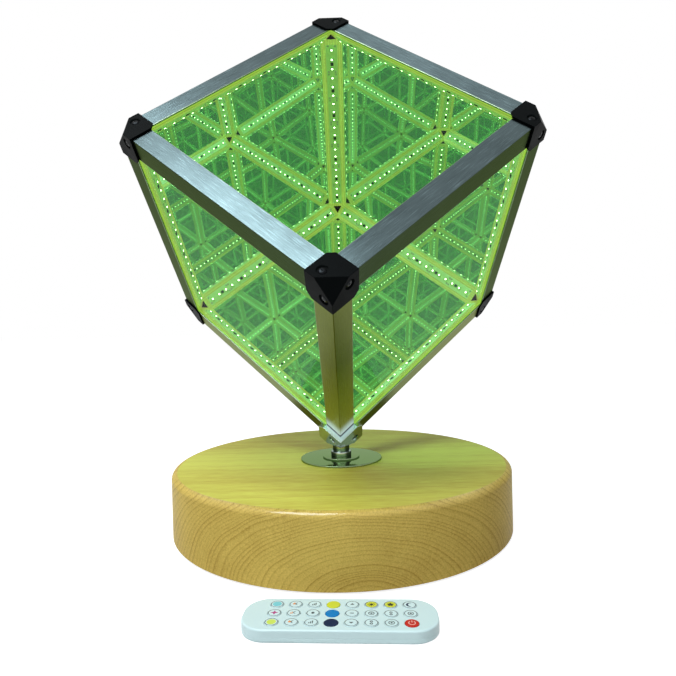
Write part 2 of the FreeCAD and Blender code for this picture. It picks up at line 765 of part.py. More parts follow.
def key_spot(column, row):
    return first_key + key_pitch_long * column, key_pitch_wide * (1 - row)


top_shell = new_body("remote_top")
slab = pad(top_shell, rounded_outline(new_sketch(top_shell, "XY_Plane", remote_split),
                                      remote_long, remote_wide, remote_corner),
           remote_high - remote_split)
dress(top_shell, "Chamfer", slab, "Size", remote_bevel, edge_at(remote_high))
pocket(top_shell, rounded_outline(new_sketch(top_shell, "XY_Plane", remote_split),
                                  inner_long, inner_wide, inner_corner),
       face_low - remote_split, True)
for row in range(len(KEY_ROWS)):
    key_hole = new_sketch(top_shell, "XY_Plane", face_low)
    x, y = key_spot(0, row)
    few_sided(key_hole, x, y, key_width + 2 * key_gap, KEY_SIDES)
    cut = pocket(top_shell, key_hole, flip=True)
    row_of_holes = top_shell.newObject("PartDesign::LinearPattern", "row_of_holes")
    row_of_holes.Originals = [cut]
    row_of_holes.Direction = (key_hole, ["H_Axis"])
    row_of_holes.Occurrences = KEY_COLUMNS
    bind(row_of_holes, "Length", key_pitch_long * (KEY_COLUMNS - 1))
    top_shell.Tip = row_of_holes
keep(top_shell, "remote_top", remote_place)

door_edge = door_long - remote_long / 2
floor_thick = door_thick + small_play


def lower_slab(body, high):
    """The remote's lower outline with its bevelled edge."""
    made = pad(body, rounded_outline(new_sketch(body, "XY_Plane"), remote_long, remote_wide,
                                     remote_corner), high)
    return dress(body, "Chamfer", made, "Size", remote_bevel, edge_at(0))


def beyond_door(sketch, start, side):
    """Everything on one side of the door's inner edge."""
    past = side * remote_long
    return outline(sketch, [(start, -remote_wide), (past, -remote_wide), (past, remote_wide),
                            (start, remote_wide)])


back_shell = new_body("remote_back")
lower_slab(back_shell, remote_split)
pocket(back_shell, rounded_outline(new_sketch(back_shell, "XY_Plane", floor_thick),
                                   inner_long, inner_wide, inner_corner), flip=True)
pocket(back_shell, beyond_door(new_sketch(back_shell, "XY_Plane"), door_edge, -1),
       floor_thick, True)
card_low = floor_thick + cell_high + small_play
for post_x in (door_edge + post_side, inner_long / 2 - inner_corner):
    for side_y in (-1, 1):
        post_y = side_y * (inner_wide / 2 - post_side)
        low_x = post_x - post_side / 2
        low_y = post_y - post_side / 2
        post = outline(new_sketch(back_shell, "XY_Plane", door_thick), [
            (low_x, low_y), (low_x + post_side, low_y), (low_x + post_side, low_y + post_side),
            (low_x, low_y + post_side)])
        pad(back_shell, post, card_low - door_thick)
keep(back_shell, "remote_back", remote_place)

door = new_body("battery_door")
lower_slab(door, door_thick)
pocket(door, beyond_door(new_sketch(door, "XY_Plane"), door_edge - small_play, 1), flip=True)
grip = new_sketch(door, "XY_Plane")
grip_x = door_edge - remote_corner
outline(grip, [(grip_x, -remote_corner / 2), (grip_x + door_grip, -remote_corner / 2),
               (grip_x + door_grip, remote_corner / 2), (grip_x, remote_corner / 2)])
pocket(door, grip, door_thick / 2, True)
keep(door, "battery_door", remote_place)

# The board's corners reach halfway into the shells' rounded corners.
card_long = inner_long - inner_corner - 2 * small_play
card_wide = inner_wide - inner_corner * (2 - math.sqrt(3)) - 4 * small_play
card = block("remote_board", card_long, card_wide, card_thick, 0, 0, 0)
keep(card, "remote_board", remote_place * at(-card_long / 2, -card_wide / 2, card_low))

cell = new_body("button_cell")
pad(cell, few_sided(new_sketch(cell, "XY_Plane"), 0, 0, cell_width, HIDDEN_SIDES), cell_high)
cell_x = door_edge - cell_width / 2 - remote_wall * 2
keep(cell, "button_cell", remote_place * at(cell_x, 0, floor_thick))

key_low = face_low - small_play - key_flange_thick
key = new_body("key_pattern")
foot_half = key_width / 2 + key_flange
key_foot = outline(new_sketch(key, "XY_Plane", key_low), [
    (-foot_half, -foot_half), (foot_half, -foot_half), (foot_half, foot_half),
    (-foot_half, foot_half)])
pad(key, key_foot, key_flange_thick)
key_head = few_sided(new_sketch(key, "XY_Plane", key_low), 0, 0, key_width, KEY_SIDES)
pad(key, key_head, remote_high + key_proud - key_low)
for row, row_name in enumerate(KEY_ROWS):
    for column in range(KEY_COLUMNS):
        x, y = key_spot(column, row)
        group(f"key_{row_name}_{column + 1}", [copy_of(key, remote_place * at(x, y, 0))])


# Every feature has to have worked, and every piece has to be a sound solid, before any file
# is written.
doc.recompute()
faults = []
for thing in doc.Objects:
    if "Invalid" in thing.State or "Error" in thing.State:
        faults.append(f"{thing.Label} failed: {thing.State}")
    elif thing.TypeId.startswith("PartDesign::") and hasattr(thing, "Shape"):
        if thing.Shape.isNull():
            faults.append(f"{thing.Name} has no shape")
        elif thing.TypeId == "PartDesign::Pocket":
            if thing.BaseFeature.Shape.Volume - thing.Shape.Volume < 1e-3:
                faults.append(f"{thing.Name} cuts nothing")
for piece in nodes:
    if piece.Shape.isNull() or not piece.Shape.isValid() or not piece.Shape.Solids:
        faults.append(f"{piece.Label} has no sound shape")
if faults:
    raise RuntimeError("; ".join(faults))

os.makedirs("parts", exist_ok=True)
for piece in nodes:
    piece.Shape.exportStep(f"parts/{piece.Label}.step")
print(f"{len(nodes)} pieces written")
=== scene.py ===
import math

import bmesh
import bpy
from mathutils import Matrix, Vector


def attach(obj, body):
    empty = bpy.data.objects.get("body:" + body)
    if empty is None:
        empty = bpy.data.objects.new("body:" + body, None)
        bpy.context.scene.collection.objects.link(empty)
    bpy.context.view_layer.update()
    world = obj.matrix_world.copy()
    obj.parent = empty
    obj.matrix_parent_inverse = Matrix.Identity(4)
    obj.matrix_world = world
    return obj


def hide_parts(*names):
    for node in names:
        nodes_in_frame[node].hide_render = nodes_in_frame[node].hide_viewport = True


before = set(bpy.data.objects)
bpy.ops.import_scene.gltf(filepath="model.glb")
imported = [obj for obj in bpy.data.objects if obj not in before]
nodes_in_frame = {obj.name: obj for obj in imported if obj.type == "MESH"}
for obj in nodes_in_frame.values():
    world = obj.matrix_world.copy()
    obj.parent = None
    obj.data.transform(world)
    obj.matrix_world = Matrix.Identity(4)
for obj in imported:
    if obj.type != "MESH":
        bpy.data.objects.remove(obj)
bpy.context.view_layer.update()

# An infinity-mirror cube lamp on a round wooden base, with its remote control. Everything is in
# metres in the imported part's frame; the sizes below are in millimetres and pass through MM.
scene = bpy.context.scene
MM = 0.001


# Studio. A pale floor and an even white surround with one large soft lamp above and to the left.
# The camera stands where the photograph was taken, a little under half a metre from the stem.
CAMERA_SPOT = Vector((8.0, -462.4, 158.8)) * MM
CAMERA_YAW = math.radians(-1.03)
CAMERA_PITCH = math.radians(0.84)
CAMERA_ROLL = math.radians(-1.42)
LEVEL = math.radians(90)
CAMERA_LENS = 29.11
SENSOR_WIDTH = 36.0
FLOOR_SIDE = 60.0
FLOOR_COLOR = (0.55, 0.55, 0.55)
FLOOR_SEEN = 0.86
FLOOR_SHADED = (0.52, 0.52, 0.52)
WHITE = (1, 1, 1)
SURROUND_LIGHT = 0.29
KEY_POWER = 30.0
KEY_COLOR = (0.88, 0.97, 1.0)
KEY_SIDE = 0.90
KEY_SPOT = Vector((-0.48, -0.72, 1.52))
KEY_AIM = Vector((0.0, 0.0, 0.15))


def node(tree, kind, inputs=None, **settings):
    """A shader node with its settings made, and its inputs linked or given values."""
    made = tree.nodes.new("ShaderNode" + kind)
    for name, value in settings.items():
        setattr(made, name, value)
    for name, value in (inputs or {}).items():
        socket = made.inputs[name]
        if isinstance(value, bpy.types.NodeSocket):
            tree.links.new(value, socket)
        else:
            socket.default_value = (*value, 1) if socket.type == "RGBA" else value
    return made


def math_node(tree, operation, *values, clamp=False):
    """The output of a Math node."""
    return node(tree, "Math", dict(enumerate(values)), operation=operation,
                use_clamp=clamp).outputs[0]


def ramp(tree, value, low, high, start, end, smooth=False):
    """A value carried from low and high to start and end, and held there past them."""
    return node(tree, "MapRange", {"Value": value, "From Min": low, "From Max": high,
                                   "To Min": start, "To Max": end},
                interpolation_type="SMOOTHSTEP" if smooth else "LINEAR").outputs[0]


def mixed(tree, share, first, second):
    """A mix of two shaders."""
    return node(tree, "MixShader", {0: share, 1: first, 2: second}).outputs[0]


def blank_material(name):
    """A material with an output node alone, and its node tree."""
    made = bpy.data.materials.new(name)
    made.use_nodes = True
    made.node_tree.nodes.clear()
    made.node_tree.nodes.new("ShaderNodeOutputMaterial")
    return made, made.node_tree


def finish_material(tree, shader):
    """Leads a shader to the material's output."""
    tree.links.new(shader, tree.nodes["Material Output"].inputs["Surface"])


def seen_directly(tree):
    """1 for rays that come from the camera, or by way of metal and glass."""
    path = node(tree, "LightPath").outputs
    either = math_node(tree, "MAXIMUM", path["Is Camera Ray"], path["Is Glossy Ray"])
    return math_node(tree, "MAXIMUM", either, path["Is Transmission Ray"])


camera = bpy.data.objects.new("camera", bpy.data.cameras.new("camera"))
camera.data.lens = CAMERA_LENS
camera.data.sensor_width = SENSOR_WIDTH
camera.data.clip_start = 0.01
camera.matrix_world = (
    Matrix.Translation(CAMERA_SPOT) @ Matrix.Rotation(-CAMERA_YAW, 4, "Z")
    @ Matrix.Rotation(LEVEL - CAMERA_PITCH, 4, "X") @ Matrix.Rotation(CAMERA_ROLL, 4, "Z"))
scene.collection.objects.link(camera)
scene.camera = camera

# The floor shows white, keeps the lamp's shadow, and is open to a view from below.
floor_mesh = bpy.data.meshes.new("floor")
half = FLOOR_SIDE / 2
floor_mesh.from_pydata([(-half, -half, 0), (half, -half, 0), (half, half, 0), (-half, half, 0)],
                       [], [(0, 1, 2, 3)])
floor = bpy.data.objects.new("floor", floor_mesh)
scene.collection.objects.link(floor)
floor_paint, tree = blank_material("pale_floor")
shaded = node(tree, "BsdfDiffuse", {"Color": FLOOR_SHADED})
glow = node(tree, "Emission", {"Color": WHITE, "Strength": FLOOR_SEEN})
seen = node(tree, "AddShader", {0: shaded.outputs[0], 1: glow.outputs[0]})
plain = node(tree, "BsdfDiffuse", {"Color": FLOOR_COLOR})
above = mixed(tree, seen_directly(tree), plain.outputs[0], seen.outputs[0])
open_below = node(tree, "BsdfTransparent", {"Color": WHITE})
below = node(tree, "NewGeometry").outputs["Backfacing"]
finish_material(tree, mixed(tree, below, above, open_below.outputs[0]))
floor_mesh.materials.append(floor_paint)

world = bpy.data.worlds.new("surround")
scene.world = world
world.use_nodes = True
tree = world.node_tree
tree.nodes.clear()
strength = ramp(tree, seen_directly(tree), 0.0, 1.0, SURROUND_LIGHT, 1.0)
surround = node(tree, "Background", {"Color": WHITE, "Strength": strength})
tree.links.new(surround.outputs[0], node(tree, "OutputWorld").inputs["Surface"])

key = bpy.data.objects.new("key_lamp", bpy.data.lights.new("key_lamp", "AREA"))
key.data.size = KEY_SIDE
key.data.energy = KEY_POWER
key.data.color = KEY_COLOR
key.location = KEY_SPOT
key.rotation_euler = (KEY_SPOT - KEY_AIM).to_track_quat("Z", "Y").to_euler()
scene.collection.objects.link(key)

scene.view_settings.view_transform = "Standard"
scene.cycles.max_bounces = 24
scene.cycles.glossy_bounces = 18
scene.cycles.transparent_max_bounces = 32
scene.cycles.caustics_reflective = False


# Wooden base. A disc of solid beech, turned with a rounded upper edge and hollowed from below,
# with a satin lacquer. A round recess at the back takes the power inlet.
BASE_RADIUS = 138.0
BASE_TOP = 50.0
BASE_FOOT = 1.5
BASE_ROUNDING = 4.3
FOOT_EASE = 0.5
HOLLOW_RADIUS = 100.0
HOLLOW_TOP = 34.0
STEM_BORE = 5.0
INLET_HEIGHT = 20.0
RECESS_RADIUS = 8.0
RECESS_FLOOR = 126.0
RIM_SEAT_RADIUS = 7.3
RIM_SEAT_FLOOR = 124.5
INLET_BORE = 6.0
ROOM_RADIUS = 12.0
ROOM_FLOOR = 119.5
CUT_PAST = 5.0
SLIVER = 0.02


def arc(middle_x, middle_z, radius, start, end, steps):
    """Points on an arc of an outline, with the angles in degrees."""
    angles = [math.radians(start + (end - start) * n / steps) for n in range(steps + 1)]
    return [(middle_x + radius * math.cos(a), middle_z + radius * math.sin(a)) for a in angles]


def circle_of(shape, radius, height, steps, matrix=None):
    """New points of a shape on a circle about Z, or about a matrix's Z."""
    spots = [Vector((radius * math.cos(math.tau * n / steps),
                     radius * math.sin(math.tau * n / steps), height)) for n in range(steps)]
    return [shape.verts.new(matrix @ spot if matrix is not None else spot) for spot in spots]


def band(shape, first, second):
    """The faces between two closed loops with the same number of points."""
    for n in range(len(first)):
        after = (n + 1) % len(first)
        shape.faces.new((first[n], first[after], second[after], second[n]))


def turned(outline, steps):
    """A body of revolution about Z from a closed outline of (radius, height) points."""
    shape = bmesh.new()
    rings = [circle_of(shape, radius, height, steps) for radius, height in outline]
    for n, ring in enumerate(rings):
        band(shape, ring, rings[(n + 1) % len(rings)])
    bmesh.ops.recalc_face_normals(shape, faces=shape.faces)
    return shape


def rod(radius, start, end, turn, steps=64):
    """A closed cylinder between two heights, for cutting with, turned from the Z axis."""
    shape = bmesh.new()
    bmesh.ops.create_cone(shape, cap_ends=True, segments=steps, radius1=radius, radius2=radius,
                          depth=end - start)
    bmesh.ops.translate(shape, vec=(0, 0, (start + end) / 2), verts=shape.verts)
    shape.transform(turn)
    return shape


def loose_object(shape, name):
    """An object from a shape, which is used up."""
    mesh = bpy.data.meshes.new(name)
    shape.to_mesh(mesh)
    shape.free()
    made = bpy.data.objects.new(name, mesh)
    scene.collection.objects.link(made)
    return made


def carved(shape, cutters):
    """The shape with each cutter taken out of it, as a new shape without slivers. All are in
    millimetres."""
    body = loose_object(shape, "blank")
    tools = [loose_object(cutter, "cutter") for cutter in cutters]
    for tool in tools:
        cut = body.modifiers.new("cut", "BOOLEAN")
        cut.operation = "DIFFERENCE"
        cut.solver = "EXACT"
        cut.object = tool
    made = bmesh.new()
    made.from_object(body, bpy.context.evaluated_depsgraph_get())
    bmesh.ops.remove_doubles(made, verts=made.verts, dist=SLIVER)
    bmesh.ops.dissolve_degenerate(made, dist=SLIVER, edges=made.edges)
    for spent in [body] + tools:
        mesh = spent.data
        bpy.data.objects.remove(spent)
        bpy.data.meshes.remove(mesh)
    return made


def piece(shape, name, materials, body, replaced=(), crease=50.0, matrix=None):
    """A finished piece from a shape in millimetres: its mesh, its materials and its place. A
    matrix sets a shape that was made in a frame of its own. Flat faces stay flat in the gloss."""
    bmesh.ops.scale(shape, vec=(MM,) * 3, verts=shape.verts)
    made = loose_object(shape, name)
    for material in materials:
        made.data.materials.append(material)
    made.data.shade_smooth()
    made.data.set_sharp_from_angle(angle=math.radians(crease))
    flat = made.modifiers.new("flat_faces", "WEIGHTED_NORMAL")
    flat.weight = 100
    flat.keep_sharp = True
    if matrix is not None:
        made.matrix_world = matrix
    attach(made, body)
    if replaced:
        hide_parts(*replaced)


def new_group(name, places, numbers, outputs, kind="Float"):
    """A shader node group with named inputs, places without a value and numbers with their usual
    one, and with named outputs of one kind. Returns the group and its inputs."""
    made = bpy.data.node_groups.new(name, "ShaderNodeTree")
    for socket in places:
        made.interface.new_socket(socket, in_out="INPUT", socket_type="NodeSocketVector")
    for socket, value in numbers.items():
        added = made.interface.new_socket(socket, in_out="INPUT", socket_type="NodeSocketFloat")
        added.default_value = value
    for socket in outputs:
        made.interface.new_socket(socket, in_out="OUTPUT", socket_type="NodeSocket" + kind)
    return made, made.nodes.new("NodeGroupInput").outputs


def finish_group(group, outputs):
    """Leads values to the group's outputs."""
    result = group.nodes.new("NodeGroupOutput")
    for name, value in outputs.items():
        group.links.new(value, result.inputs[name])


def use_group(tree, group, inputs):
    """A group placed in a material with its own values."""
    return node(tree, "Group", inputs, node_tree=group).outputs


def vector_node(tree, operation, *values):
    """The output of a Vector Math node."""
    return node(tree, "VectorMath", dict(enumerate(values)), operation=operation).outputs[0]


def scaled(tree, vector, factor):
    """A colour or a place times a number."""
    return node(tree, "VectorMath", {0: vector, "Scale": factor}, operation="SCALE").outputs[0]


def millimetres(tree):
    """The surface's place in the piece's own frame, in millimetres."""
    return scaled(tree, node(tree, "TexCoord").outputs["Object"], 1 / MM)


def axis_of(tree, vector, axis):
    """One of a vector's three numbers."""
    return node(tree, "SeparateXYZ", {"Vector": vector}).outputs[axis]


def noise(tree, spot, scale, detail, roughness=0.5, distortion=0.0):
    """The grey of a noise texture."""
    return node(tree, "TexNoise", {"Vector": spot, "Scale": scale, "Detail": detail,
                                   "Roughness": roughness, "Distortion": distortion}).outputs["Fac"]


def bump(tree, height, strength, depth, sunk=False):
    """The normal of a surface with a height on it, its depth in millimetres."""
    return node(tree, "Bump", {"Height": height, "Strength": strength, "Distance": depth * MM},
                invert=sunk).outputs[0]


def mixed_color(tree, share, first, second):
    """A mix of two colours."""
    return node(tree, "Mix", {"Factor": share, "A": first, "B": second},
                data_type="RGBA").outputs["Result"]


def finish_surface(tree, inputs):
    """A Principled surface, led to the material's output."""
    finish_material(tree, node(tree, "BsdfPrincipled", inputs).outputs[0])


# Growth rings about an axis through the pith: thin dark late wood at each ring's rim, uneven
# ring widths, and fine fibres that run along the axis. Across is the place across the log.
grain, given = new_group("growth_rings", ("Across", "Along"), {"Ring Width": 8.0, "Wander": 6.0},
                         ("Late Wood", "Fibre", "Shade"))
reach = node(grain, "VectorMath", {0: given["Across"]}, operation="LENGTH").outputs["Value"]
shift = math_node(grain, "MULTIPLY_ADD", noise(grain, given["Along"], 0.012, 2.0),
                  given["Wander"], reach)
uneven = node(grain, "TexNoise", {"W": shift, "Scale": 0.05, "Detail": 1.0},
              noise_dimensions="1D").outputs["Fac"]
spread = math_node(grain, "MULTIPLY_ADD", uneven, 14.0, shift)
turns = math_node(grain, "DIVIDE", spread, given["Ring Width"])
phase = math_node(grain, "FRACT", turns)
pick = node(grain, "TexWhiteNoise", {"W": math_node(grain, "FLOOR", turns)},
            noise_dimensions="1D").outputs["Value"]
edge = math_node(grain, "MAXIMUM", math_node(grain, "POWER", phase, 4.0),
                 ramp(grain, phase, 0.0, 0.12, 0.55, 0.0))
finish_group(grain, {
    "Late Wood": math_node(grain, "MULTIPLY", edge, ramp(grain, pick, 0.0, 1.0, 0.2, 1.0)),
    "Fibre": noise(grain, given["Along"], 1.1, 4.0, 0.65),
    "Shade": noise(grain, given["Along"], 0.03, 3.0)})

WOOD_LIGHT = (0.70, 0.50, 0.120)
WOOD_DARK = (0.38, 0.235, 0.045)
# The top's colours are greener than the side's: painted green light from the cube.
TOP_PALE_PAINTED_GREEN = (0.68, 0.665, 0.110)
TOP_DARK_PAINTED_GREEN = (0.50, 0.38, 0.055)
WOOD_GLOSS = 0.02
EDGE_COAT_ROUGHNESS = 0.14
HIGHLIGHT_COAT_FROM = -75.0
HIGHLIGHT_COAT_FULLY = -125.0
PITH = (15.0, 0, -6.0)
BOARD_PITH = (0, 300, -160)


def wood_material(name, light, dark, pith, squeeze, stretch, fibres, ring_width, wander, rings,
                  patches, front_edge_highlight=0.0):
    """Lacquered beech. squeeze flattens the place to across the log, and stretch draws out the
    fibres. fibres, rings and patches are how much each darkens it, and the edge coat is a painted
    highlight: a gloss coat laid only on the front of its rounded edge, where the lamp's highlight
    falls."""
    made, tree = blank_material(name)
    spot = millimetres(tree)
    over = vector_node(tree, "MULTIPLY", vector_node(tree, "SUBTRACT", spot, pith), squeeze)
    wood = use_group(tree, grain, {
        "Across": over, "Along": vector_node(tree, "MULTIPLY", spot, stretch),
        "Ring Width": ring_width, "Wander": wander})
    relief = math_node(tree, "ADD", math_node(tree, "MULTIPLY", wood["Late Wood"], rings),
                       ramp(tree, wood["Fibre"], 0.35, 0.75, 0.0, fibres))
    mask = math_node(tree, "ADD", relief, ramp(tree, wood["Shade"], 0.3, 0.7, -patches, patches))
    inputs = {
        "Base Color": mixed_color(tree, mask, light, dark),
        "Roughness": ramp(tree, wood["Fibre"], 0.0, 1.0, 0.34, 0.46),
        "Specular IOR Level": WOOD_GLOSS, "Coat Roughness": EDGE_COAT_ROUGHNESS,
        "Normal": bump(tree, relief, 0.10, 0.2, sunk=True)}
    # Painted highlight: a gloss coat on the front of the rounded edge only.
    if front_edge_highlight:
        high = ramp(tree, axis_of(tree, spot, "Z"), BASE_TOP - BASE_ROUNDING, BASE_TOP - 1,
                    0.0, front_edge_highlight)
        front = ramp(tree, axis_of(tree, spot, "Y"), HIGHLIGHT_COAT_FROM, HIGHLIGHT_COAT_FULLY, 0.0, 1.0,
                     smooth=True)
        inputs["Coat Weight"] = math_node(tree, "MULTIPLY", high, front)
    finish_surface(tree, inputs)
    return made


wood_side = wood_material(
    "beech_end_grain", WOOD_LIGHT, WOOD_DARK, PITH, squeeze=(0.62, 0, 1), stretch=(1, 0.12, 1),
    fibres=0.70, ring_width=2.0, wander=12.0, rings=0.85, patches=0.16, front_edge_highlight=0.9)
wood_top = wood_material(
    "beech_top", TOP_PALE_PAINTED_GREEN, TOP_DARK_PAINTED_GREEN, BOARD_PITH, squeeze=(0, 1, 1), stretch=(0.05, 1, 1),
    fibres=0.95, ring_width=11.0, wander=40.0, rings=0.35, patches=0.45)

outline = [(STEM_BORE, HOLLOW_TOP), (HOLLOW_RADIUS, HOLLOW_TOP), (HOLLOW_RADIUS, BASE_FOOT),
           (BASE_RADIUS - FOOT_EASE, BASE_FOOT), (BASE_RADIUS, BASE_FOOT + FOOT_EASE)]
outline += arc(BASE_RADIUS - BASE_ROUNDING, BASE_TOP - BASE_ROUNDING, BASE_ROUNDING, 0, 90, 12)
outline += [(STEM_BORE, BASE_TOP)]
to_back = Matrix.Translation((0, 0, INLET_HEIGHT)) @ Matrix.Rotation(math.radians(-90), 4, "X")
base_shape = carved(turned(outline, 240), [
    rod(RECESS_RADIUS, RECESS_FLOOR, BASE_RADIUS + CUT_PAST, to_back),
    rod(RIM_SEAT_RADIUS, RIM_SEAT_FLOOR, BASE_RADIUS, to_back),
    rod(INLET_BORE, ROOM_FLOOR - 1, BASE_RADIUS, to_back),
    rod(ROOM_RADIUS, HOLLOW_RADIUS / 2, ROOM_FLOOR, to_back)])
for face in base_shape.faces:
    at_top = min(v.co.z for v in face.verts) > BASE_TOP - 0.01
    face.material_index = 1 if at_top else 0
piece(base_shape, "turned_base", [wood_side, wood_top], "base", ["wooden_base"])


# Soft pad. A disc of fine black foam rubber, cut a little smaller than the base and stuck under
# it. It closes the hollow and keeps the lamp from sliding.
FOAM_COLOR = (0.030, 0.030, 0.031)
foam, tree = blank_material("foam_rubber")
cells = node(tree, "TexVoronoi", {"Vector": millimetres(tree), "Scale": 2.2}).outputs["Distance"]
finish_surface(tree, {
    "Base Color": FOAM_COLOR, "Roughness": ramp(tree, cells, 0.0, 1.0, 0.82, 0.95),
    "Normal": bump(tree, cells, 0.4, 0.2)})


def dress_node(name, material):
    """A CAD node that keeps its shape, with its material set."""
    mesh = nodes_in_frame[name].data
    mesh.materials.clear()
    mesh.materials.append(material)


dress_node("base_pad", foam)


# Power inlet. A black moulded round socket with a plated centre pin, its rim sunk in the back of
# the base and held by a nut inside.
BLACK_PLASTIC = (0.018, 0.018, 0.019)
ZINC = (0.56, 0.56, 0.58)
INLET_OUTLINE = [(0.0, 104.5), (6.0, 104.5), (6.0, 124.5), (7.2, 124.5), (7.2, 125.6), (6.8, 126.0),
                 (3.2, 126.0), (2.8, 125.6), (2.8, 116.0), (0.0, 116.0)]
PIN_OUTLINE = [(0.0, 116.0), (1.0, 116.0), (1.0, 124.0), (0.7, 124.5), (0.0, 124.5)]

# Moulded plastic: the fine matt texture of the mould and faint smears from handling.
moulded, given = new_group("moulded_plastic", ("Spot",),
                           {"Least Roughness": 0.3, "Most Roughness": 0.5},
                           ("Height", "Roughness", "Smear"))
smears = noise(moulded, given["Spot"], 0.09, 4.0, distortion=0.6)
finish_group(moulded, {
    "Height": noise(moulded, given["Spot"], 6.0, 2.0),
    "Roughness": ramp(moulded, smears, 0.3, 0.7, given["Least Roughness"],
                      given["Most Roughness"]),
    "Smear": smears})
SMEAR_COLOR = (0.9, 0.9, 0.9)


def plastic_material(name, color, least, most, shine=0.5, smear=0.012, ior=1.5):
    """Moulded plastic of one colour, or of a colour that a function's nodes give. least and most
    are its roughness, and smear is how much the smears lighten it."""
    made, tree = blank_material(name)
    surface = use_group(tree, moulded, {"Spot": millimetres(tree), "Least Roughness": least,
                                        "Most Roughness": most})
    tint = color(tree) if callable(color) else color
    share = ramp(tree, surface["Smear"], 0.4, 0.8, 0.0, smear)
    finish_surface(tree, {
        "Base Color": mixed_color(tree, share, tint, SMEAR_COLOR),
        "Roughness": surface["Roughness"], "Specular IOR Level": shine, "IOR": ior,
        "Normal": bump(tree, surface["Height"], 0.15, 0.04)})
    return made


SIDE_START = 0.30
SIDE_END = 0.62

# Wiping marks: the faint uneven gloss that cloths and hands leave on polished metal.
wiped, given = new_group("wiping_marks", ("Spot",),
                         {"Least Roughness": 0.1, "Most Roughness": 0.2}, ("Marks", "Roughness"))
marks = noise(wiped, given["Spot"], 0.22, 5.0, distortion=0.8)
finish_group(wiped, {
    "Marks": marks,
    "Roughness": ramp(wiped, marks, 0.3, 0.7, given["Least Roughness"],
                      given["Most Roughness"])})


def metal_material(name, color, least, most, wipe=0.02, rim=WHITE, shine=None, painted_dark_sides=None):
    """Polished or plated metal with faint wiping marks in its gloss. rim tints flat views,
    shine is a painted reflection of light that other metal throws on it, given as a glow, and the
    dark sides are a painted reflection: the tone of an upright round part to the left and right,
    where a studio is dark."""
    made, tree = blank_material(name)
    surface = use_group(tree, wiped, {"Spot": millimetres(tree), "Least Roughness": least,
                                      "Most Roughness": most})
    inputs = {"Base Color": color, "Metallic": 1.0, "Specular Tint": rim,
              "Roughness": surface["Roughness"],
              "Normal": bump(tree, surface["Marks"], wipe, 0.2)}
    # Painted reflection of a dark studio: darker to the left and right.
    if painted_dark_sides is not None:
        facing = axis_of(tree, node(tree, "TexCoord").outputs["Normal"], "X")
        tone = ramp(tree, math_node(tree, "ABSOLUTE", facing), SIDE_START, SIDE_END, 1.0,
                    painted_dark_sides, smooth=True)
        inputs["Base Color"] = scaled(tree, color, tone)
    # Painted reflection, given as a glow.
    if shine:
        tone = ramp(tree, surface["Marks"], 0.0, 1.0, 0.8, 1.2)
        inputs["Emission Color"] = scaled(tree, shine, tone)
        inputs["Emission Strength"] = 1.0
    finish_surface(tree, inputs)
    return made


inlet_plastic = plastic_material("inlet_plastic", BLACK_PLASTIC, 0.35, 0.5)
plated = metal_material("zinc_plating", ZINC, 0.22, 0.38)
inlet_shape = turned(INLET_OUTLINE, 64)
pin_shape = turned(PIN_OUTLINE, 32)
for face in pin_shape.faces:
    corners = [inlet_shape.verts.new(v.co) for v in face.verts]
    inlet_shape.faces.new(corners).material_index = 1
pin_shape.free()
bmesh.ops.remove_doubles(inlet_shape, verts=inlet_shape.verts, dist=0.001)
bmesh.ops.dissolve_degenerate(inlet_shape, edges=inlet_shape.edges, dist=0.001)
inlet_shape.transform(to_back)
piece(inlet_shape, "inlet_socket", [inlet_plastic, plated], "base", ["power_inlet"])


# Stem. A polished flange with a raised middle lies on the base, a ring nut over it clamps the
# pipe, and above that turns the sleeve that carries the cube. All are plated and polished.
# The flange's chrome and rim tints carry a painted green reflection.
FLANGE_CHROME_PAINTED_GREEN = (0.23, 0.31, 0.18)
FLANGE_RIM_PAINTED_GREEN = (0.50, 0.62, 0.42)
# The nut's and sleeve's rim tint and darker sides are a painted reflection of a dark studio.
STEM_CHROME = (0.58, 0.66, 0.62)
STEM_RIM_PAINTED_DARK = (0.40, 0.45, 0.42)
FLANGE_OUTLINE = [(5.0, 50.0), (34.0, 50.0), (34.0, 51.3), (33.7, 51.6), (15.8, 51.6),
                  (15.5, 51.7), (15.5, 52.6), (15.3, 52.8), (5.0, 52.8)]
COLLAR_OUTLINE = [(5.0, 52.8), (8.1, 52.8), (8.5, 53.2), (8.5, 56.2), (8.1, 56.6), (5.0, 56.6)]
SLEEVE_OUTLINE = [(5.05, 56.9), (6.6, 56.9), (7.0, 57.3), (7.0, 61.45), (6.0, 61.45),
                  (6.0, 66.45), (5.05, 66.45)]
chrome = metal_material("polished_chrome", FLANGE_CHROME_PAINTED_GREEN, 0.05, 0.12, rim=FLANGE_RIM_PAINTED_GREEN)
stem_chrome = metal_material("polished_stem", STEM_CHROME, 0.05, 0.12, rim=STEM_RIM_PAINTED_DARK,
                             painted_dark_sides=0.12)
for outline, name, metal, body, replaced in (
        (FLANGE_OUTLINE, "stem_flange", chrome, "base", "flange"),
        (COLLAR_OUTLINE, "stem_ring_nut", stem_chrome, "base", "collar"),
        (SLEEVE_OUTLINE, "turning_sleeve", stem_chrome, "cube", "stem_sleeve")):
    piece(turned(outline, 128), name, [metal], body, [replaced])

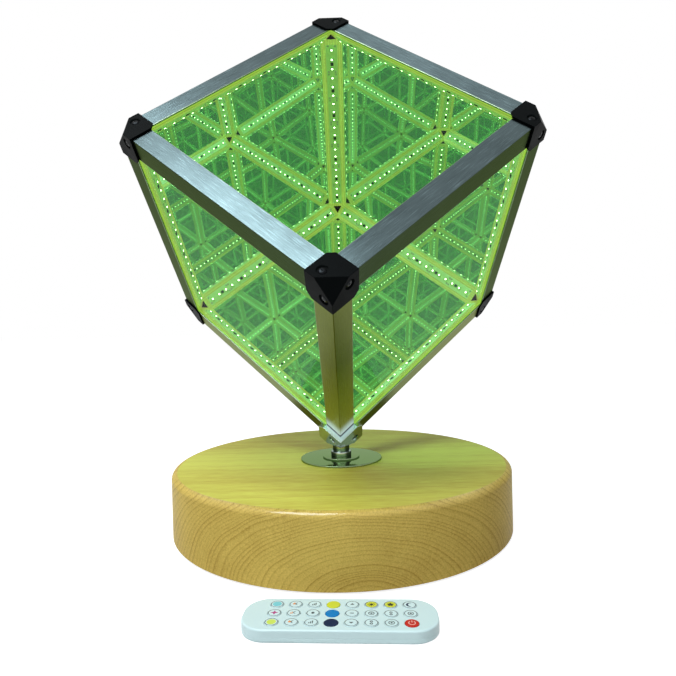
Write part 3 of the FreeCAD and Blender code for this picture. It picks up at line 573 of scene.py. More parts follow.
# The pipe inside has a fine thread, which winds up one millimetre in a turn.
pipe_steel, tree = blank_material("threaded_steel")
spot = millimetres(tree)
turn = math_node(tree, "ARCTAN2", axis_of(tree, spot, "Y"), axis_of(tree, spot, "X"))
wound = math_node(tree, "MULTIPLY_ADD", turn, 1 / math.tau, axis_of(tree, spot, "Z"))
finish_surface(tree, {
    "Base Color": ZINC, "Metallic": 1.0,
    "Roughness": ramp(tree, noise(tree, spot, 0.5, 3.0), 0.0, 1.0, 0.22, 0.42),
    "Normal": bump(tree, math_node(tree, "PINGPONG", wound, 0.5), 0.9, 0.4)})
dress_node("stem_pipe", pipe_steel)
dress_node("base_fasteners", plated)


# Electronics in the base. A green circuit board on posts with its terminals, and two round leads
# with black sheaths, one from the inlet and one up the stem.
BOARD_GREEN = (0.015, 0.115, 0.045)
BOARD_TRACK = (0.030, 0.190, 0.080)
SHEATH_BLACK = (0.022, 0.022, 0.023)
TRACK_PITCH = 0.12
TRACK_EDGE = 0.07


def track_color(tree):
    """Copper tracks that show through the board's green resist."""
    cells = node(tree, "TexVoronoi", {"Vector": millimetres(tree), "Scale": 0.35},
                 distance="CHEBYCHEV", feature="F1")
    lines = math_node(tree, "PINGPONG", cells.outputs["Distance"], TRACK_PITCH)
    mask = math_node(tree, "GREATER_THAN", lines, TRACK_EDGE)
    return mixed_color(tree, mask, BOARD_GREEN, BOARD_TRACK)


board_green = plastic_material("circuit_board_green", track_color, 0.25, 0.4)
sheath = plastic_material("lead_sheath_black", SHEATH_BLACK, 0.4, 0.55)
dress_node("controller", board_green)
dress_node("remote_board", board_green)
dress_node("inner_leads", sheath)
dress_node("button_cell", plated)


# Aluminium bars. Twelve lengths of one extrusion, two outer faces at a right angle with a groove
# for a mirror beside each and a sloping shelf inside, brushed along their length. Their tones are
# painted light and shade: the faces that look up are a lit bluish grey, those of the middle bars
# that look down a painted dark shade, and the lower bars' faces a painted olive reflection of the
# wood. The shelf and the lips carry painted green light of the lights.
CUBE_EDGE = 210.0
CORNER_HEIGHT = 59.2
BAR_WIDTH = 16.0
BAR_WALL = 1.2
GROOVE_FLOOR = 12.0
SHELF_FOOT = 3.4
SHELF_SUM = BAR_WIDTH + SHELF_FOOT
CHAMBER_FAR = GROOVE_FLOOR - BAR_WALL
CHAMBER_SHORT = SHELF_SUM - math.sqrt(2) * BAR_WALL - CHAMBER_FAR
CHAMBER = [(BAR_WALL, BAR_WALL), (CHAMBER_FAR, BAR_WALL), (CHAMBER_FAR, CHAMBER_SHORT),
           (CHAMBER_SHORT, CHAMBER_FAR), (BAR_WALL, CHAMBER_FAR)]
BAR_START = 12.0
BAR_ROUNDING = 0.45
LIP_ROUNDING = 0.35
# Painted light and shade: lit upper faces, shaded under faces of the middle bars, and a painted
# olive reflection of the wood on the lower bars.
UPPER_FACE_PAINTED_LIT = (0.080, 0.111, 0.118)
UPPER_RIM = (0.85, 0.92, 0.92)
MIDDLE_FACE_PAINTED_SHADE = (0.033, 0.044, 0.030)
MIDDLE_RIM_PAINTED_SHADE = (0.55, 0.62, 0.45)
LOWER_FACE_PAINTED_REFLECTION = (0.085, 0.100, 0.022)
LOWER_RIM_PAINTED_REFLECTION = (0.90, 0.95, 0.72)
# Painted green light of the lights: the lips' and the shelf's green tints, and the shelf's glow.
LIP_FACE_PAINTED_GREEN = (0.26, 0.33, 0.22)
SHELF_FACE_PAINTED_GREEN = (0.32, 0.48, 0.20)
SHELF_PAINTED_GLOW = (0.31, 0.35, 0.055)
DIE_LINE_PITCH = 1.6
DIE_LINE_EDGE = 1.15
DIE_LINE_DARK = 0.40
# Painted reflection of the polished corner and painted glow of the wood on the front bar's end.
END_PAINTED_REFLECTION = (0.32, 0.42, 0.46)
SHINE_NEAR = 23.0
SHINE_FAR = 40.0
PAINTED_WOOD_GLOW = (0.115, 0.120, 0.012)
WARM_FAR = 130.0
FOOT_LEG = 22.0
FOOT_GAP = 2.1
RISE = math.asin(1 / math.sqrt(3))
LOWEST_CORNER = Vector((0, 0, CORNER_HEIGHT))


def rising_edge(azimuth):
    """One of the three edges that rise from the cube's lowest corner."""
    turn = math.radians(azimuth)
    return Vector((math.cos(RISE) * math.cos(turn), math.cos(RISE) * math.sin(turn),
                   math.sin(RISE)))


AXES = (rising_edge(-90), rising_edge(30), rising_edge(150))


def frame_at(spot, axes):
    """The place in metres at a corner of the cube, with its own three axes."""
    corner = LOWEST_CORNER + sum((AXES[n] * spot[n] * CUBE_EDGE for n in range(3)), Vector())
    return Matrix.Translation(corner * MM) @ Matrix(axes).transposed().to_4x4()


def edge_frame(along, second, third):
    """The frame of an edge: Z along its ridge, X and Y inward across its two faces."""
    spot = [0, 0, 0]
    spot[(along + 1) % 3] = second
    spot[(along + 2) % 3] = third
    sides = [AXES[(along + n) % 3] * (-1 if spot[(along + n) % 3] else 1) for n in (1, 2)]
    ridge = sides[0].cross(sides[1])
    spot[along] = 0 if ridge.dot(AXES[along]) > 0 else 1
    return frame_at(spot, (sides[0], sides[1], ridge))


def rounded(corners, radii, steps=3):
    """A closed outline with some of its corners rounded by their own radius."""
    made = []
    for n, (corner, radius) in enumerate(zip(corners, radii)):
        if not radius:
            made.append(corner)
            continue
        spot = Vector(corner)
        before = (Vector(corners[n - 1]) - spot).normalized() * radius
        after = (Vector(corners[(n + 1) % len(corners)]) - spot).normalized() * radius
        for k in range(steps + 1):
            part = k / steps
            made.append(tuple(spot + before * (1 - part) ** 2 + after * part ** 2))
    return made


def prism(outlines, start, end):
    """A body along Z between closed outlines, the first the outer one, with ends that are found
    from each point's place by start and end."""
    shape = bmesh.new()
    loops = []
    for points in outlines:
        loop = [shape.verts.new((x, y, 0)) for x, y in points]
        loops.append(loop)
        for n, point in enumerate(loop):
            shape.edges.new((point, loop[(n + 1) % len(loop)]))
    bmesh.ops.triangle_fill(shape, edges=shape.edges[:], use_beauty=True)
    far = bmesh.ops.duplicate(shape, geom=shape.verts[:] + shape.edges[:]
                              + shape.faces[:])["vert_map"]
    for loop in loops:
        band(shape, loop, [far[point] for point in loop])
    for point in [p for loop in loops for p in loop]:
        x, y = point.co.x, point.co.y
        point.co.z = start(x, y)
        far[point].co.z = end(x, y)
    bmesh.ops.recalc_face_normals(shape, faces=shape.faces)
    return shape


# Brushed metal: streaks along one axis in tone and gloss, single bright scratches among them, and
# softer clouds of wear over all.
brushed, given = new_group("brushed_metal", ("Spot", "Stretch"), {"Contrast": 0.2},
                           ("Streak", "Tone", "Roughness"))
drawn = vector_node(brushed, "MULTIPLY", given["Spot"], given["Stretch"])
streaks = noise(brushed, drawn, 3.2, 5.0, 0.7)
clouds = math_node(brushed, "MULTIPLY", noise(brushed, given["Spot"], 0.03, 3.0), 0.4)
both = math_node(brushed, "MULTIPLY_ADD", streaks, 0.6, clouds)
scratches = ramp(brushed, noise(brushed, drawn, 4.6, 1.0), 0.60, 0.74, 0.0, 1.4)
marks = math_node(brushed, "ADD", math_node(brushed, "MULTIPLY_ADD", both, 2.0, -1.0), scratches)
finish_group(brushed, {
    "Streak": streaks, "Tone": math_node(brushed, "MULTIPLY_ADD", marks, given["Contrast"], 1.0),
    "Roughness": ramp(brushed, streaks, 0.3, 0.7, 0.22, 0.38)})
BRUSHED_ALONG = (1.0, 1.0, 0.012)


def aluminium(name, color, rim, contrast, glow=None, end_painted_reflection=None):
    """Brushed anodised aluminium of one tone. glow is painted light of the lights on a shelf, given
    as a glow, which also gets the fine lines of the extrusion die. The end reflection is a painted
    reflection of the polished corner on the front bar's end, past a joint in painted shade, with a
    painted warm glow of the wood farther up."""
    made, tree = blank_material(name)
    spot = millimetres(tree)
    surface = use_group(tree, brushed, {"Spot": spot, "Stretch": BRUSHED_ALONG,
                                        "Contrast": contrast})
    drawn_along = node(tree, "VectorTransform", {"Vector": (0, 0, 1)}, vector_type="VECTOR",
                       convert_from="OBJECT", convert_to="WORLD").outputs[0]
    inputs = {
        "Base Color": scaled(tree, color, surface["Tone"]), "Metallic": 1.0,
        "Roughness": surface["Roughness"], "Specular Tint": rim, "Anisotropic": 0.75,
        "Anisotropic Rotation": 0.25, "Tangent": drawn_along,
        "Normal": bump(tree, surface["Streak"], 0.25, 0.05)}
    # Painted glow of the lights on the shelf.
    if glow:
        over = math_node(tree, "SUBTRACT", axis_of(tree, spot, "X"), axis_of(tree, spot, "Y"))
        line = math_node(tree, "GREATER_THAN", math_node(tree, "PINGPONG", over, DIE_LINE_PITCH),
                         DIE_LINE_EDGE)
        tone = math_node(tree, "MULTIPLY_ADD", line, -DIE_LINE_DARK, surface["Tone"])
        inputs |= {"Emission Color": scaled(tree, glow, tone), "Emission Strength": 1.0}
    # Painted reflection and glow on the front bar's end, and painted shade in the joint below them.
    if end_painted_reflection:
        height = axis_of(tree, spot, "Z")
        near = ramp(tree, height, SHINE_FAR, SHINE_NEAR, 0.0, 1.0, smooth=True)
        warm = ramp(tree, height, WARM_FAR, SHINE_NEAR, 0.0, 1.0)
        past_gap = math_node(tree, "GREATER_THAN", height, FOOT_LEG + FOOT_GAP)
        shone = scaled(tree, end_painted_reflection, math_node(tree, "MULTIPLY", near, past_gap))
        warmed = scaled(tree, PAINTED_WOOD_GLOW, math_node(tree, "SUBTRACT", warm, near, clamp=True))
        inputs |= {"Base Color": scaled(tree, inputs["Base Color"], past_gap),
                   "Metallic": past_gap, "Emission Strength": 1.0,
                   "Emission Color": vector_node(tree, "ADD", shone, warmed)}
    finish_surface(tree, inputs)
    return made


upper_metal = aluminium("brushed_aluminium_upper_painted_lit", UPPER_FACE_PAINTED_LIT, UPPER_RIM, 1.15)
lower_metal = aluminium("brushed_aluminium_lower_painted_reflection", LOWER_FACE_PAINTED_REFLECTION, LOWER_RIM_PAINTED_REFLECTION, 0.4)
middle_metal = aluminium("brushed_aluminium_middle_painted_shade", MIDDLE_FACE_PAINTED_SHADE, MIDDLE_RIM_PAINTED_SHADE, 0.5)
end_metal = aluminium("brushed_aluminium_foot_end", LOWER_FACE_PAINTED_REFLECTION, LOWER_RIM_PAINTED_REFLECTION, 0.4,
                      end_painted_reflection=END_PAINTED_REFLECTION)
lip_metal = aluminium("aluminium_cut_edge", LIP_FACE_PAINTED_GREEN, UPPER_RIM, 0.1)
shelf_metal = aluminium("brushed_aluminium_shelf", SHELF_FACE_PAINTED_GREEN, UPPER_RIM, 0.25, SHELF_PAINTED_GLOW)

first_half = [(GROOVE_FLOOR, 0), (BAR_WIDTH, 0), (BAR_WIDTH, BAR_WALL), (GROOVE_FLOOR, BAR_WALL),
              (GROOVE_FLOOR, SHELF_FOOT), (BAR_WIDTH, SHELF_FOOT),
              (GROOVE_FLOOR, SHELF_SUM - GROOVE_FLOOR)]
half_radii = [0, LIP_ROUNDING, LIP_ROUNDING, 0, 0, 0, 0]
bar_section = rounded([(0, 0)] + first_half + [(y, x) for x, y in first_half[::-1]],
                      [BAR_ROUNDING] + half_radii + half_radii[::-1])


def bar_tip(x, y):
    """Where a point of the section starts: square, with the tips past the groove mitred."""
    return max(BAR_START, x, y)


def bar_end(x, y):
    """Where a point of the section ends."""
    return CUBE_EDGE - bar_tip(x, y)


SIDES = ((0, 0), (0, 1), (1, 0), (1, 1))
edges = [(along, second, third) for along in range(3) for second, third in SIDES]
BAR_GROUPS = {2: "upper_bars", 1: "middle_bars", 0: "lower_bars"}
FRONT_EDGE = (0, 0, 0)
for number, edge in enumerate(edges, 1):
    along, second, third = edge
    shape = prism([bar_section, CHAMBER], bar_tip, bar_end)
    for face in shape.faces:
        x, y, z = face.calc_center_median()
        if min(x, y) > BAR_ROUNDING and max(x, y) < BAR_WIDTH - LIP_ROUNDING:
            face.material_index = 2
        elif max(x, y) >= BAR_WIDTH - LIP_ROUNDING and min(x, y) < BAR_WALL:
            face.material_index = 3
        else:
            face.material_index = 0 if (second if x < y else third) else 1
    group = BAR_GROUPS[second + third]
    under = end_metal if edge == FRONT_EDGE else middle_metal if second + third else lower_metal
    piece(shape, f"{group[:-1]}_{number}", [upper_metal, under, shelf_metal, lip_metal], "cube",
          [group], 40.0, edge_frame(*edge))


# Light tapes. A white flexible tape on each bar's shelf, with square lights 8.3 mm apart, solder
# pads between its cuttable pieces and a resistor in each. The lenses glow green as lamps; the
# tape and the light housings carry painted green light and a painted glow.
TAPE_WIDTH = 10.0
TAPE_THICK = 0.3
TAPE_PIECE = 25.0
PIECES = 7
TAPE_LONG = TAPE_PIECE * PIECES
LIGHTS_IN_PIECE = 3
LIGHT_WIDTH = 3.5
LIGHT_HIGH = 0.9
LIGHT_EASE = 0.12
LENS_RADIUS = 0.75
LENS_HIGH = 0.05
RESISTOR_SIZE = (2.6, 3.0, 0.5)
RESISTOR_EASE = 0.08
PAD_RADIUS = 0.9
PAD_HIGH = 0.12
PAD_FROM_CUT = 1.2
PAD_OUT = 0.3 * TAPE_WIDTH
ROUND_TAPER = 0.92
# The tape and the housings are white: their green and their glow are painted light of the lights.
TAPE_PAINTED_GREEN = (0.42, 0.68, 0.36)
TAPE_PAINTED_GLOW = (0.17, 0.35, 0.06)
LIGHT_COLOR = (0.70, 1.0, 0.46)
LIGHT_POWER = 10.0
HOUSING_PAINTED_GREEN = (0.34, 0.50, 0.28)
HOUSING_PAINTED_GLOW = (0.11, 0.30, 0.06)
RESISTOR_COLOR = (0.02, 0.10, 0.05)
SOLDER_COLOR = (0.60, 0.60, 0.56)


def block(shape, middle, sizes, material=0, ease=0.0):
    """Adds a block, by its middle and its sizes, with its edges eased."""
    made = bmesh.ops.create_cube(shape, size=1.0)["verts"]
    bmesh.ops.scale(shape, vec=sizes, verts=made)
    bmesh.ops.translate(shape, vec=middle, verts=made)
    for face in {face for point in made for face in point.link_faces}:
        face.material_index = material
    if ease:
        sides = dict.fromkeys(edge for point in made for edge in point.link_edges)
        bmesh.ops.bevel(shape, geom=list(sides), offset=ease, segments=2, affect="EDGES",
                        profile=0.5, clamp_overlap=True, material=material)


def disc(shape, middle, radius, height, material, steps=20):
    """Adds an upright round body by the middle of its foot, a little narrower at its top."""
    cone = bmesh.ops.create_cone(shape, cap_ends=True, segments=steps, radius1=radius,
                                 radius2=radius * ROUND_TAPER, depth=height)["verts"]
    bmesh.ops.translate(shape, vec=Vector(middle) + Vector((0, 0, height / 2)), verts=cone)
    for face in {face for point in cone for face in point.link_faces}:
        face.material_index = material


# Mottles: a tone that is a little lighter and darker from spot to spot, by the spread.
mottles, given = new_group("mottles", ("Spot",), {"Fineness": 1.0, "Detail": 2.0, "Spread": 0.1},
                           ("Tone",))
finish_group(mottles, {"Tone": ramp(
    mottles, noise(mottles, given["Spot"], given["Fineness"], given["Detail"]), 0.0, 1.0,
    math_node(mottles, "SUBTRACT", 1.0, given["Spread"]),
    math_node(mottles, "ADD", 1.0, given["Spread"]))})


def mottled_tone(tree, fineness, detail, spread):
    """The tone of a surface with mottles."""
    return use_group(tree, mottles, {"Spot": millimetres(tree), "Fineness": fineness,
                                     "Detail": detail, "Spread": spread})["Tone"]


def in_order(shape):
    """A shape made again with its points and faces in the order of their places, because easing
    edges leaves them in an order that changes from run to run. The old one is used up."""
    made = bmesh.new()
    points = {spot: made.verts.new(spot) for spot in sorted({tuple(v.co) for v in shape.verts})}
    loops = []
    for face in shape.faces:
        spots = [tuple(v.co) for v in face.verts]
        start = spots.index(min(spots))
        loops.append((spots[start:] + spots[:start], face.material_index))
    for spots, material in sorted(loops):
        made.faces.new([points[spot] for spot in spots]).material_index = material
    shape.free()
    return made


def lit_material(name, color, glow, power, gloss, fineness, detail, spread):
    """Plastic that glows, with mottles in its glow: lamp light on the lenses, and painted light of
    the lights on the tape and the housings.
    """
    made, tree = blank_material(name)
    tone = mottled_tone(tree, fineness, detail, spread)
    finish_surface(tree, {"Base Color": color, "Roughness": gloss,
                          "Emission Color": scaled(tree, glow, tone), "Emission Strength": power})
    return made


tape_paint = lit_material("tape_white_lit", TAPE_PAINTED_GREEN, TAPE_PAINTED_GLOW, 1.0, 0.45, 0.35, 3.0, 0.2)
lens_glow = lit_material("light_lens_green", LIGHT_COLOR, LIGHT_COLOR, LIGHT_POWER, 0.35, 1.2,
                         2.0, 0.1)
housing = lit_material("light_housing_lit", HOUSING_PAINTED_GREEN, HOUSING_PAINTED_GLOW, 1.0, 0.4, 0.9, 2.0, 0.15)
resistor_dark = plastic_material("resistor_dark", RESISTOR_COLOR, 0.3, 0.5)
solder = metal_material("solder", SOLDER_COLOR, 0.25, 0.45)

across_shelf = Vector((-1, 1, 0)).normalized()
uphill = Vector((1, 1, 0)).normalized()
on_shelf = Matrix((across_shelf, Vector((0, 0, -1)), uphill)).transposed().to_4x4()
lift = Matrix.Translation((uphill * SHELF_SUM / math.sqrt(2)
                           + Vector((0, 0, CUBE_EDGE / 2))) * MM)
for number, edge in enumerate(edges, 1):
    matrix = edge_frame(*edge) @ lift @ on_shelf
    tape = bmesh.new()
    block(tape, (0, 0, TAPE_THICK / 2), (TAPE_WIDTH, TAPE_LONG, TAPE_THICK))
    lights = bmesh.new()
    for n in range(PIECES):
        first = (n + 0.5) * TAPE_PIECE - TAPE_LONG / 2
        block(tape, (0, first + TAPE_PIECE / 6, TAPE_THICK + RESISTOR_SIZE[2] / 2), RESISTOR_SIZE,
              1, RESISTOR_EASE)
        for side in (-1, 1):
            for rail in (-1, 1):
                disc(tape, (rail * PAD_OUT, first + side * (TAPE_PIECE / 2 - PAD_FROM_CUT),
                            TAPE_THICK), PAD_RADIUS, PAD_HIGH, 2, 12)
        for k in range(LIGHTS_IN_PIECE):
            y = first + (k - 1) * TAPE_PIECE / LIGHTS_IN_PIECE
            block(lights, (0, y, TAPE_THICK + LIGHT_HIGH / 2),
                  (LIGHT_WIDTH, LIGHT_WIDTH, LIGHT_HIGH), 0, LIGHT_EASE)
            disc(lights, (0, y, TAPE_THICK + LIGHT_HIGH), LENS_RADIUS, LENS_HIGH, 1)
    piece(in_order(tape), f"light_tape_{number}", [tape_paint, resistor_dark, solder], "cube",
          ["light_tapes"], 40.0, matrix)
    piece(in_order(lights), f"lights_{number}", [housing, lens_glow], "cube", ["lights"],
          40.0, matrix)


# Two-way mirrors. Six tinted glass sheets with ground edges, each let into the grooves of four
# bars. A half-silvered coat inside throws the lights back and forth, so that their rows run on
# into the depth, and it reflects as a sheet does that bows inward a little.
# A faint painted glow on the silver stands in for the light of the farthest reflections.
MIRROR_START = 12.3
MIRROR_SEAT = 1.3
MIRROR_THICK = 2.0
MIRROR_EASE = 0.2
SHEET_TINT = (0.86, 0.97, 0.90)
GLOSS_TINT = (0.9, 0.95, 0.92)
GLOSS_SHARE = 0.16
SILVER_TINT = (0.72, 0.85, 0.74)
# Painted glow on the silver, for the light of the farthest reflections.
PAINTED_DEPTH_GLOW = (0.013, 0.025, 0.015)
SEEN_THROUGH = (0.90, 0.98, 0.92)
LIGHT_PASSED = 0.85
BOW = 0.0003
MIRROR_NAMES = {(0, 1): "upper_front", (1, 1): "upper_right", (2, 1): "upper_left",
                (0, 0): "lower_back", (1, 0): "lower_left", (2, 0): "lower_right"}

glass, tree = blank_material("two_way_mirror_outside")
film = ramp(tree, noise(tree, millimetres(tree), 0.05, 6.0, 0.7), 0.35, 0.75, 0.02, 0.10)
share = math_node(tree, "MULTIPLY", node(tree, "Fresnel", {"IOR": 1.5}).outputs[0], GLOSS_SHARE)
clear = node(tree, "BsdfTransparent", {"Color": SHEET_TINT})
shine = node(tree, "BsdfPrincipled", {"Base Color": GLOSS_TINT, "Metallic": 1.0,
                                      "Roughness": film})
finish_material(tree, mixed(tree, share, clear.outputs[0], shine.outputs[0]))

# Bowed sheet: the normal of a sheet that bends inward a little, more the farther from its middle.
bowed, given = new_group("bowed_sheet", ("Spot", "Middle"), {"Bow": 0.0}, ("Normal",), "Vector")
off = vector_node(bowed, "SUBTRACT", given["Spot"], given["Middle"])
lean = vector_node(bowed, "MULTIPLY", scaled(bowed, off, given["Bow"]), (1, 1, 0))
leaning = vector_node(bowed, "ADD", lean, (0, 0, 1))
finish_group(bowed, {"Normal": node(
    bowed, "VectorTransform", {"Vector": leaning}, vector_type="NORMAL", convert_from="OBJECT",
    convert_to="WORLD").outputs[0]})

silver, tree = blank_material("two_way_mirror_inside")
bent = use_group(tree, bowed, {"Spot": millimetres(tree), "Bow": BOW,
                               "Middle": (CUBE_EDGE / 2, CUBE_EDGE / 2, 0)})
thrown = node(tree, "BsdfPrincipled", {
    "Base Color": SILVER_TINT, "Metallic": 1.0, "Roughness": 0.0, "Normal": bent["Normal"],
    "Emission Color": PAINTED_DEPTH_GLOW, "Emission Strength": 1.0})
through = node(tree, "BsdfTransparent", {"Color": SEEN_THROUGH})
passed = math_node(tree, "MULTIPLY", node(tree, "LightPath").outputs["Is Shadow Ray"],
                   LIGHT_PASSED)
share = math_node(tree, "MAXIMUM", node(tree, "NewGeometry").outputs["Backfacing"], passed)
finish_material(tree, mixed(tree, share, thrown.outputs[0], through.outputs[0]))

mirror_wide = CUBE_EDGE - 2 * MIRROR_START
for (axis, side), name in MIRROR_NAMES.items():
    spot = [0, 0, 0]
    spot[axis] = side
    inward = AXES[axis] * (-1 if side else 1)
    first, second = AXES[(axis + 1) % 3], AXES[(axis + 2) % 3]
    if side:
        first, second = second, first
    sheet = bmesh.new()
    block(sheet, (CUBE_EDGE / 2, CUBE_EDGE / 2, MIRROR_SEAT + MIRROR_THICK / 2),
          (mirror_wide, mirror_wide, MIRROR_THICK), 0, MIRROR_EASE)
    for face in sheet.faces:
        if face.normal.z > 0.99:
            face.material_index = 1
    piece(sheet, "mirror_sheet_" + name, [glass, silver], "cube", ["mirror_" + name],
          1.0, frame_at(spot, (first, second, inward)))


# Corner pieces. Seven black moulded caps and, at the foot, a thicker polished casting of the same
# form. Each has three skins over the bars' ends, plugs inside them, a blunt point and a round
# seat in each skin for a small screw with a cross slot.
CAP_SKIN = 1.5
FOOT_SKIN = 4.2
SCREW_ALONG = 12.5
SCREW_ACROSS = 5.5
SEAT_RADIUS = 3.7
SEAT_DEEP = 1.0
CORNER_EASE = 0.22
SHORTEST_EASED = 1.5
CAP_BLACK = (0.0022, 0.003, 0.0032)
FOOT_METAL = (0.50, 0.57, 0.54)
# Painted reflection on one face of the casting, given as a glow.
FOOT_PAINTED_REFLECTION = (0.17, 0.25, 0.29)
SCREW_STEEL = (0.008, 0.009, 0.010)
SCREW_DOME = [(0.9, 0.72), (1.7, 0.58), (2.3, 0.32), (2.5, 0.0)]
SLOT_ARM = 0.82
SLOT_HALF = 0.22
SLOT_FLOOR = 0.25
SLOT_TAPER = 0.7
CORNERS = {"cap_top": (1, 1, 1), "cap_upper_left": (1, 0, 1), "cap_upper_right": (1, 1, 0),
           "cap_upper_back": (0, 1, 1), "cap_lower_front": (1, 0, 0),
           "cap_lower_right": (0, 1, 0), "cap_lower_left": (0, 0, 1), "foot_corner": (0, 0, 0)}


def screw_head(shape, matrix, steps=24):
    """Adds a low domed head with a cross slot, its foot at the matrix's origin."""
    rings = [circle_of(shape, radius, height, steps, matrix) for radius, height in SCREW_DOME]
    for inner, outer in zip(rings, rings[1:]):
        for k in range(steps):
            shape.faces.new((inner[k], outer[k], outer[(k + 1) % steps], inner[(k + 1) % steps]))
    arm, bar = SLOT_ARM, SLOT_HALF
    cross = [(bar, bar), (bar, arm), (-bar, arm), (-bar, bar), (-arm, bar), (-arm, -bar),
             (-bar, -bar), (-bar, -arm), (bar, -arm), (bar, -bar), (arm, -bar), (arm, bar)]
    top = [shape.verts.new(matrix @ Vector((x, y, SCREW_DOME[0][1]))) for x, y in cross]
    deep = [shape.verts.new(matrix @ Vector((x * SLOT_TAPER, y * SLOT_TAPER, SLOT_FLOOR)))
            for x, y in cross]
    band(shape, top, deep)
    shape.faces.new(deep)
    around = [shape.edges.get((loop[n], loop[(n + 1) % len(loop)]))
              for loop in (rings[0], top) for n in range(len(loop))]
    bmesh.ops.triangle_fill(shape, edges=around, use_beauty=True,
                            normal=matrix.to_3x3() @ Vector((0, 0, 1)))
    shape.faces.new(rings[-1][::-1])


def flattened(shape):
    """Joins the faces of a shape that lie in one plane."""
    bmesh.ops.dissolve_limit(shape, angle_limit=math.radians(1), verts=shape.verts,
                             edges=shape.edges)


cap_plastic = plastic_material("cap_black_plastic", CAP_BLACK, 0.30, 0.45, smear=0.001, ior=1.07)
foot_metal = metal_material("polished_casting", FOOT_METAL, 0.10, 0.22, 0.05)
# This copy carries the painted reflection, on the faces that look along X.
foot_front = metal_material("polished_casting_lit", FOOT_METAL, 0.10, 0.22, 0.05,
                            shine=FOOT_PAINTED_REFLECTION)
screw_steel = metal_material("blackened_steel", SCREW_STEEL, 0.25, 0.4)
for name, spot in CORNERS.items():
    metal = name == "foot_corner"
    skin = FOOT_SKIN if metal else CAP_SKIN
    axes = [AXES[n] * (-1 if spot[n] else 1) for n in range(3)]
    if sum(spot) % 2:
        axes[1], axes[2] = axes[2], axes[1]
    matrix = frame_at(spot, axes)
    shape = bmesh.new()
    shape.from_mesh(nodes_in_frame[name].data)
    shape.transform(matrix.inverted())
    bmesh.ops.scale(shape, vec=(1 / MM,) * 3, verts=shape.verts)
    bmesh.ops.remove_doubles(shape, verts=shape.verts, dist=0.002)
    flattened(shape)
    seats, heads = [], bmesh.new()
    for n in range(3):
        place = Vector((-skin, -skin, -skin))
        place[(n + 1) % 3] = SCREW_ACROSS if metal else SCREW_ALONG
        place[(n + 2) % 3] = SCREW_ALONG if metal else SCREW_ACROSS
        outward = Vector((0, 0, 0))
        outward[n] = -1
        turn = outward.to_track_quat("Z", "Y").to_matrix().to_4x4()
        seats.append(rod(SEAT_RADIUS, -SEAT_DEEP, 1, Matrix.Translation(place) @ turn, 40))
        screw_head(heads, Matrix.Translation(place - outward * SEAT_DEEP) @ turn)
    shape = carved(shape, seats)
    flattened(shape)
    sharp = [edge for edge in shape.edges if len(edge.link_faces) == 2
             and edge.calc_face_angle() > math.radians(25)
             and edge.calc_length() > SHORTEST_EASED]
    bmesh.ops.bevel(shape, geom=sharp, offset=CORNER_EASE, segments=2, affect="EDGES",
                    profile=0.5, clamp_overlap=True)
    if metal:
        for face in shape.faces:
            face.material_index = 1 if face.normal.x > 0.95 else 0
    piece(shape, name + ("_casting" if metal else "_cover"),
          [foot_metal, foot_front] if metal else [cap_plastic], "cube", [name],
          50.0, matrix)
    piece(heads, name + "_screws", [screw_steel], "cube", crease=40.0, matrix=matrix)


# Remote control. Two white moulded shells with a fine joint between them, a sliding battery door
# below, and 24 round keys with plain printed signs. It lies a little askew before the base.
REMOTE_SPOT = Vector((0, -172, 0))
REMOTE_TURN = math.radians(-2.5)
REMOTE_LONG = 105.0
REMOTE_WIDE = 33.4
REMOTE_CORNER = 14.0
CORNER_STEPS = 14
REMOTE_HIGH = 7.0
REMOTE_ROUNDING = 1.0
REMOTE_SPLIT = 2.6
REMOTE_WALL = 1.3
JOINT_EASE = 0.12
FACE_LOW = 5.8
FLOOR_HIGH = 1.2
DOOR_THICK = 1.1
DOOR_EDGE = -24.0
DOOR_GAP = 0.1
GRIPS = 5
GRIP_FIRST = -41.0
GRIP_STEP = 1.4
GRIP_WIDE = 0.7
GRIP_HALF = 7.0
GRIP_DEEP = 0.45
POST_X = (-20.0, 38.5)
POST_Y = 13.4
POST_WIDE = 4
POST_TOP = 3.8
# The white carries a painted cyan-green cast of the light.
REMOTE_WHITE = (0.62, 0.77, 0.78)
remote_frame = Matrix.Translation(REMOTE_SPOT * MM) @ Matrix.Rotation(REMOTE_TURN, 4, "Z")


def stadium(inset):
    """The remote's outline, drawn in by some amount."""
    made = []
    for quarter, (side_x, side_y) in enumerate(((1, 1), (-1, 1), (-1, -1), (1, -1))):
        made += arc(side_x * (REMOTE_LONG / 2 - REMOTE_CORNER),
                    side_y * (REMOTE_WIDE / 2 - REMOTE_CORNER), REMOTE_CORNER - inset,
                    90 * quarter, 90 * (quarter + 1), CORNER_STEPS)
    return made


def slab(levels):
    """A closed body over the remote's outline from levels of (inset, height), lowest first."""
    shape = bmesh.new()
    rings = [[shape.verts.new((x, y, height)) for x, y in stadium(inset)]
             for inset, height in levels]
    for lower, upper in zip(rings, rings[1:]):
        band(shape, lower, upper)
    shape.faces.new(rings[0][::-1])
    shape.faces.new(rings[-1])
    return shape


def brick(low_corner, high_corner):
    """A block between two corners, for cutting with."""
    shape = bmesh.new()
    low_corner, high_corner = Vector(low_corner), Vector(high_corner)
    block(shape, (low_corner + high_corner) / 2, high_corner - low_corner)
    return shape


KEY_RADIUS = 3.75
KEY_GAP = 0.2
KEY_LOW = 5.2
KEY_HIGH = 7.3
KEY_FIRST = -35.275
KEY_STEP = 10.45
KEY_ROW_STEP = 9.3
KEYS_IN_ROW = 8


def key_spot(column, row):
    """The middle of a key, with the far row first."""
    return KEY_FIRST + KEY_STEP * column, KEY_ROW_STEP * (1 - row)


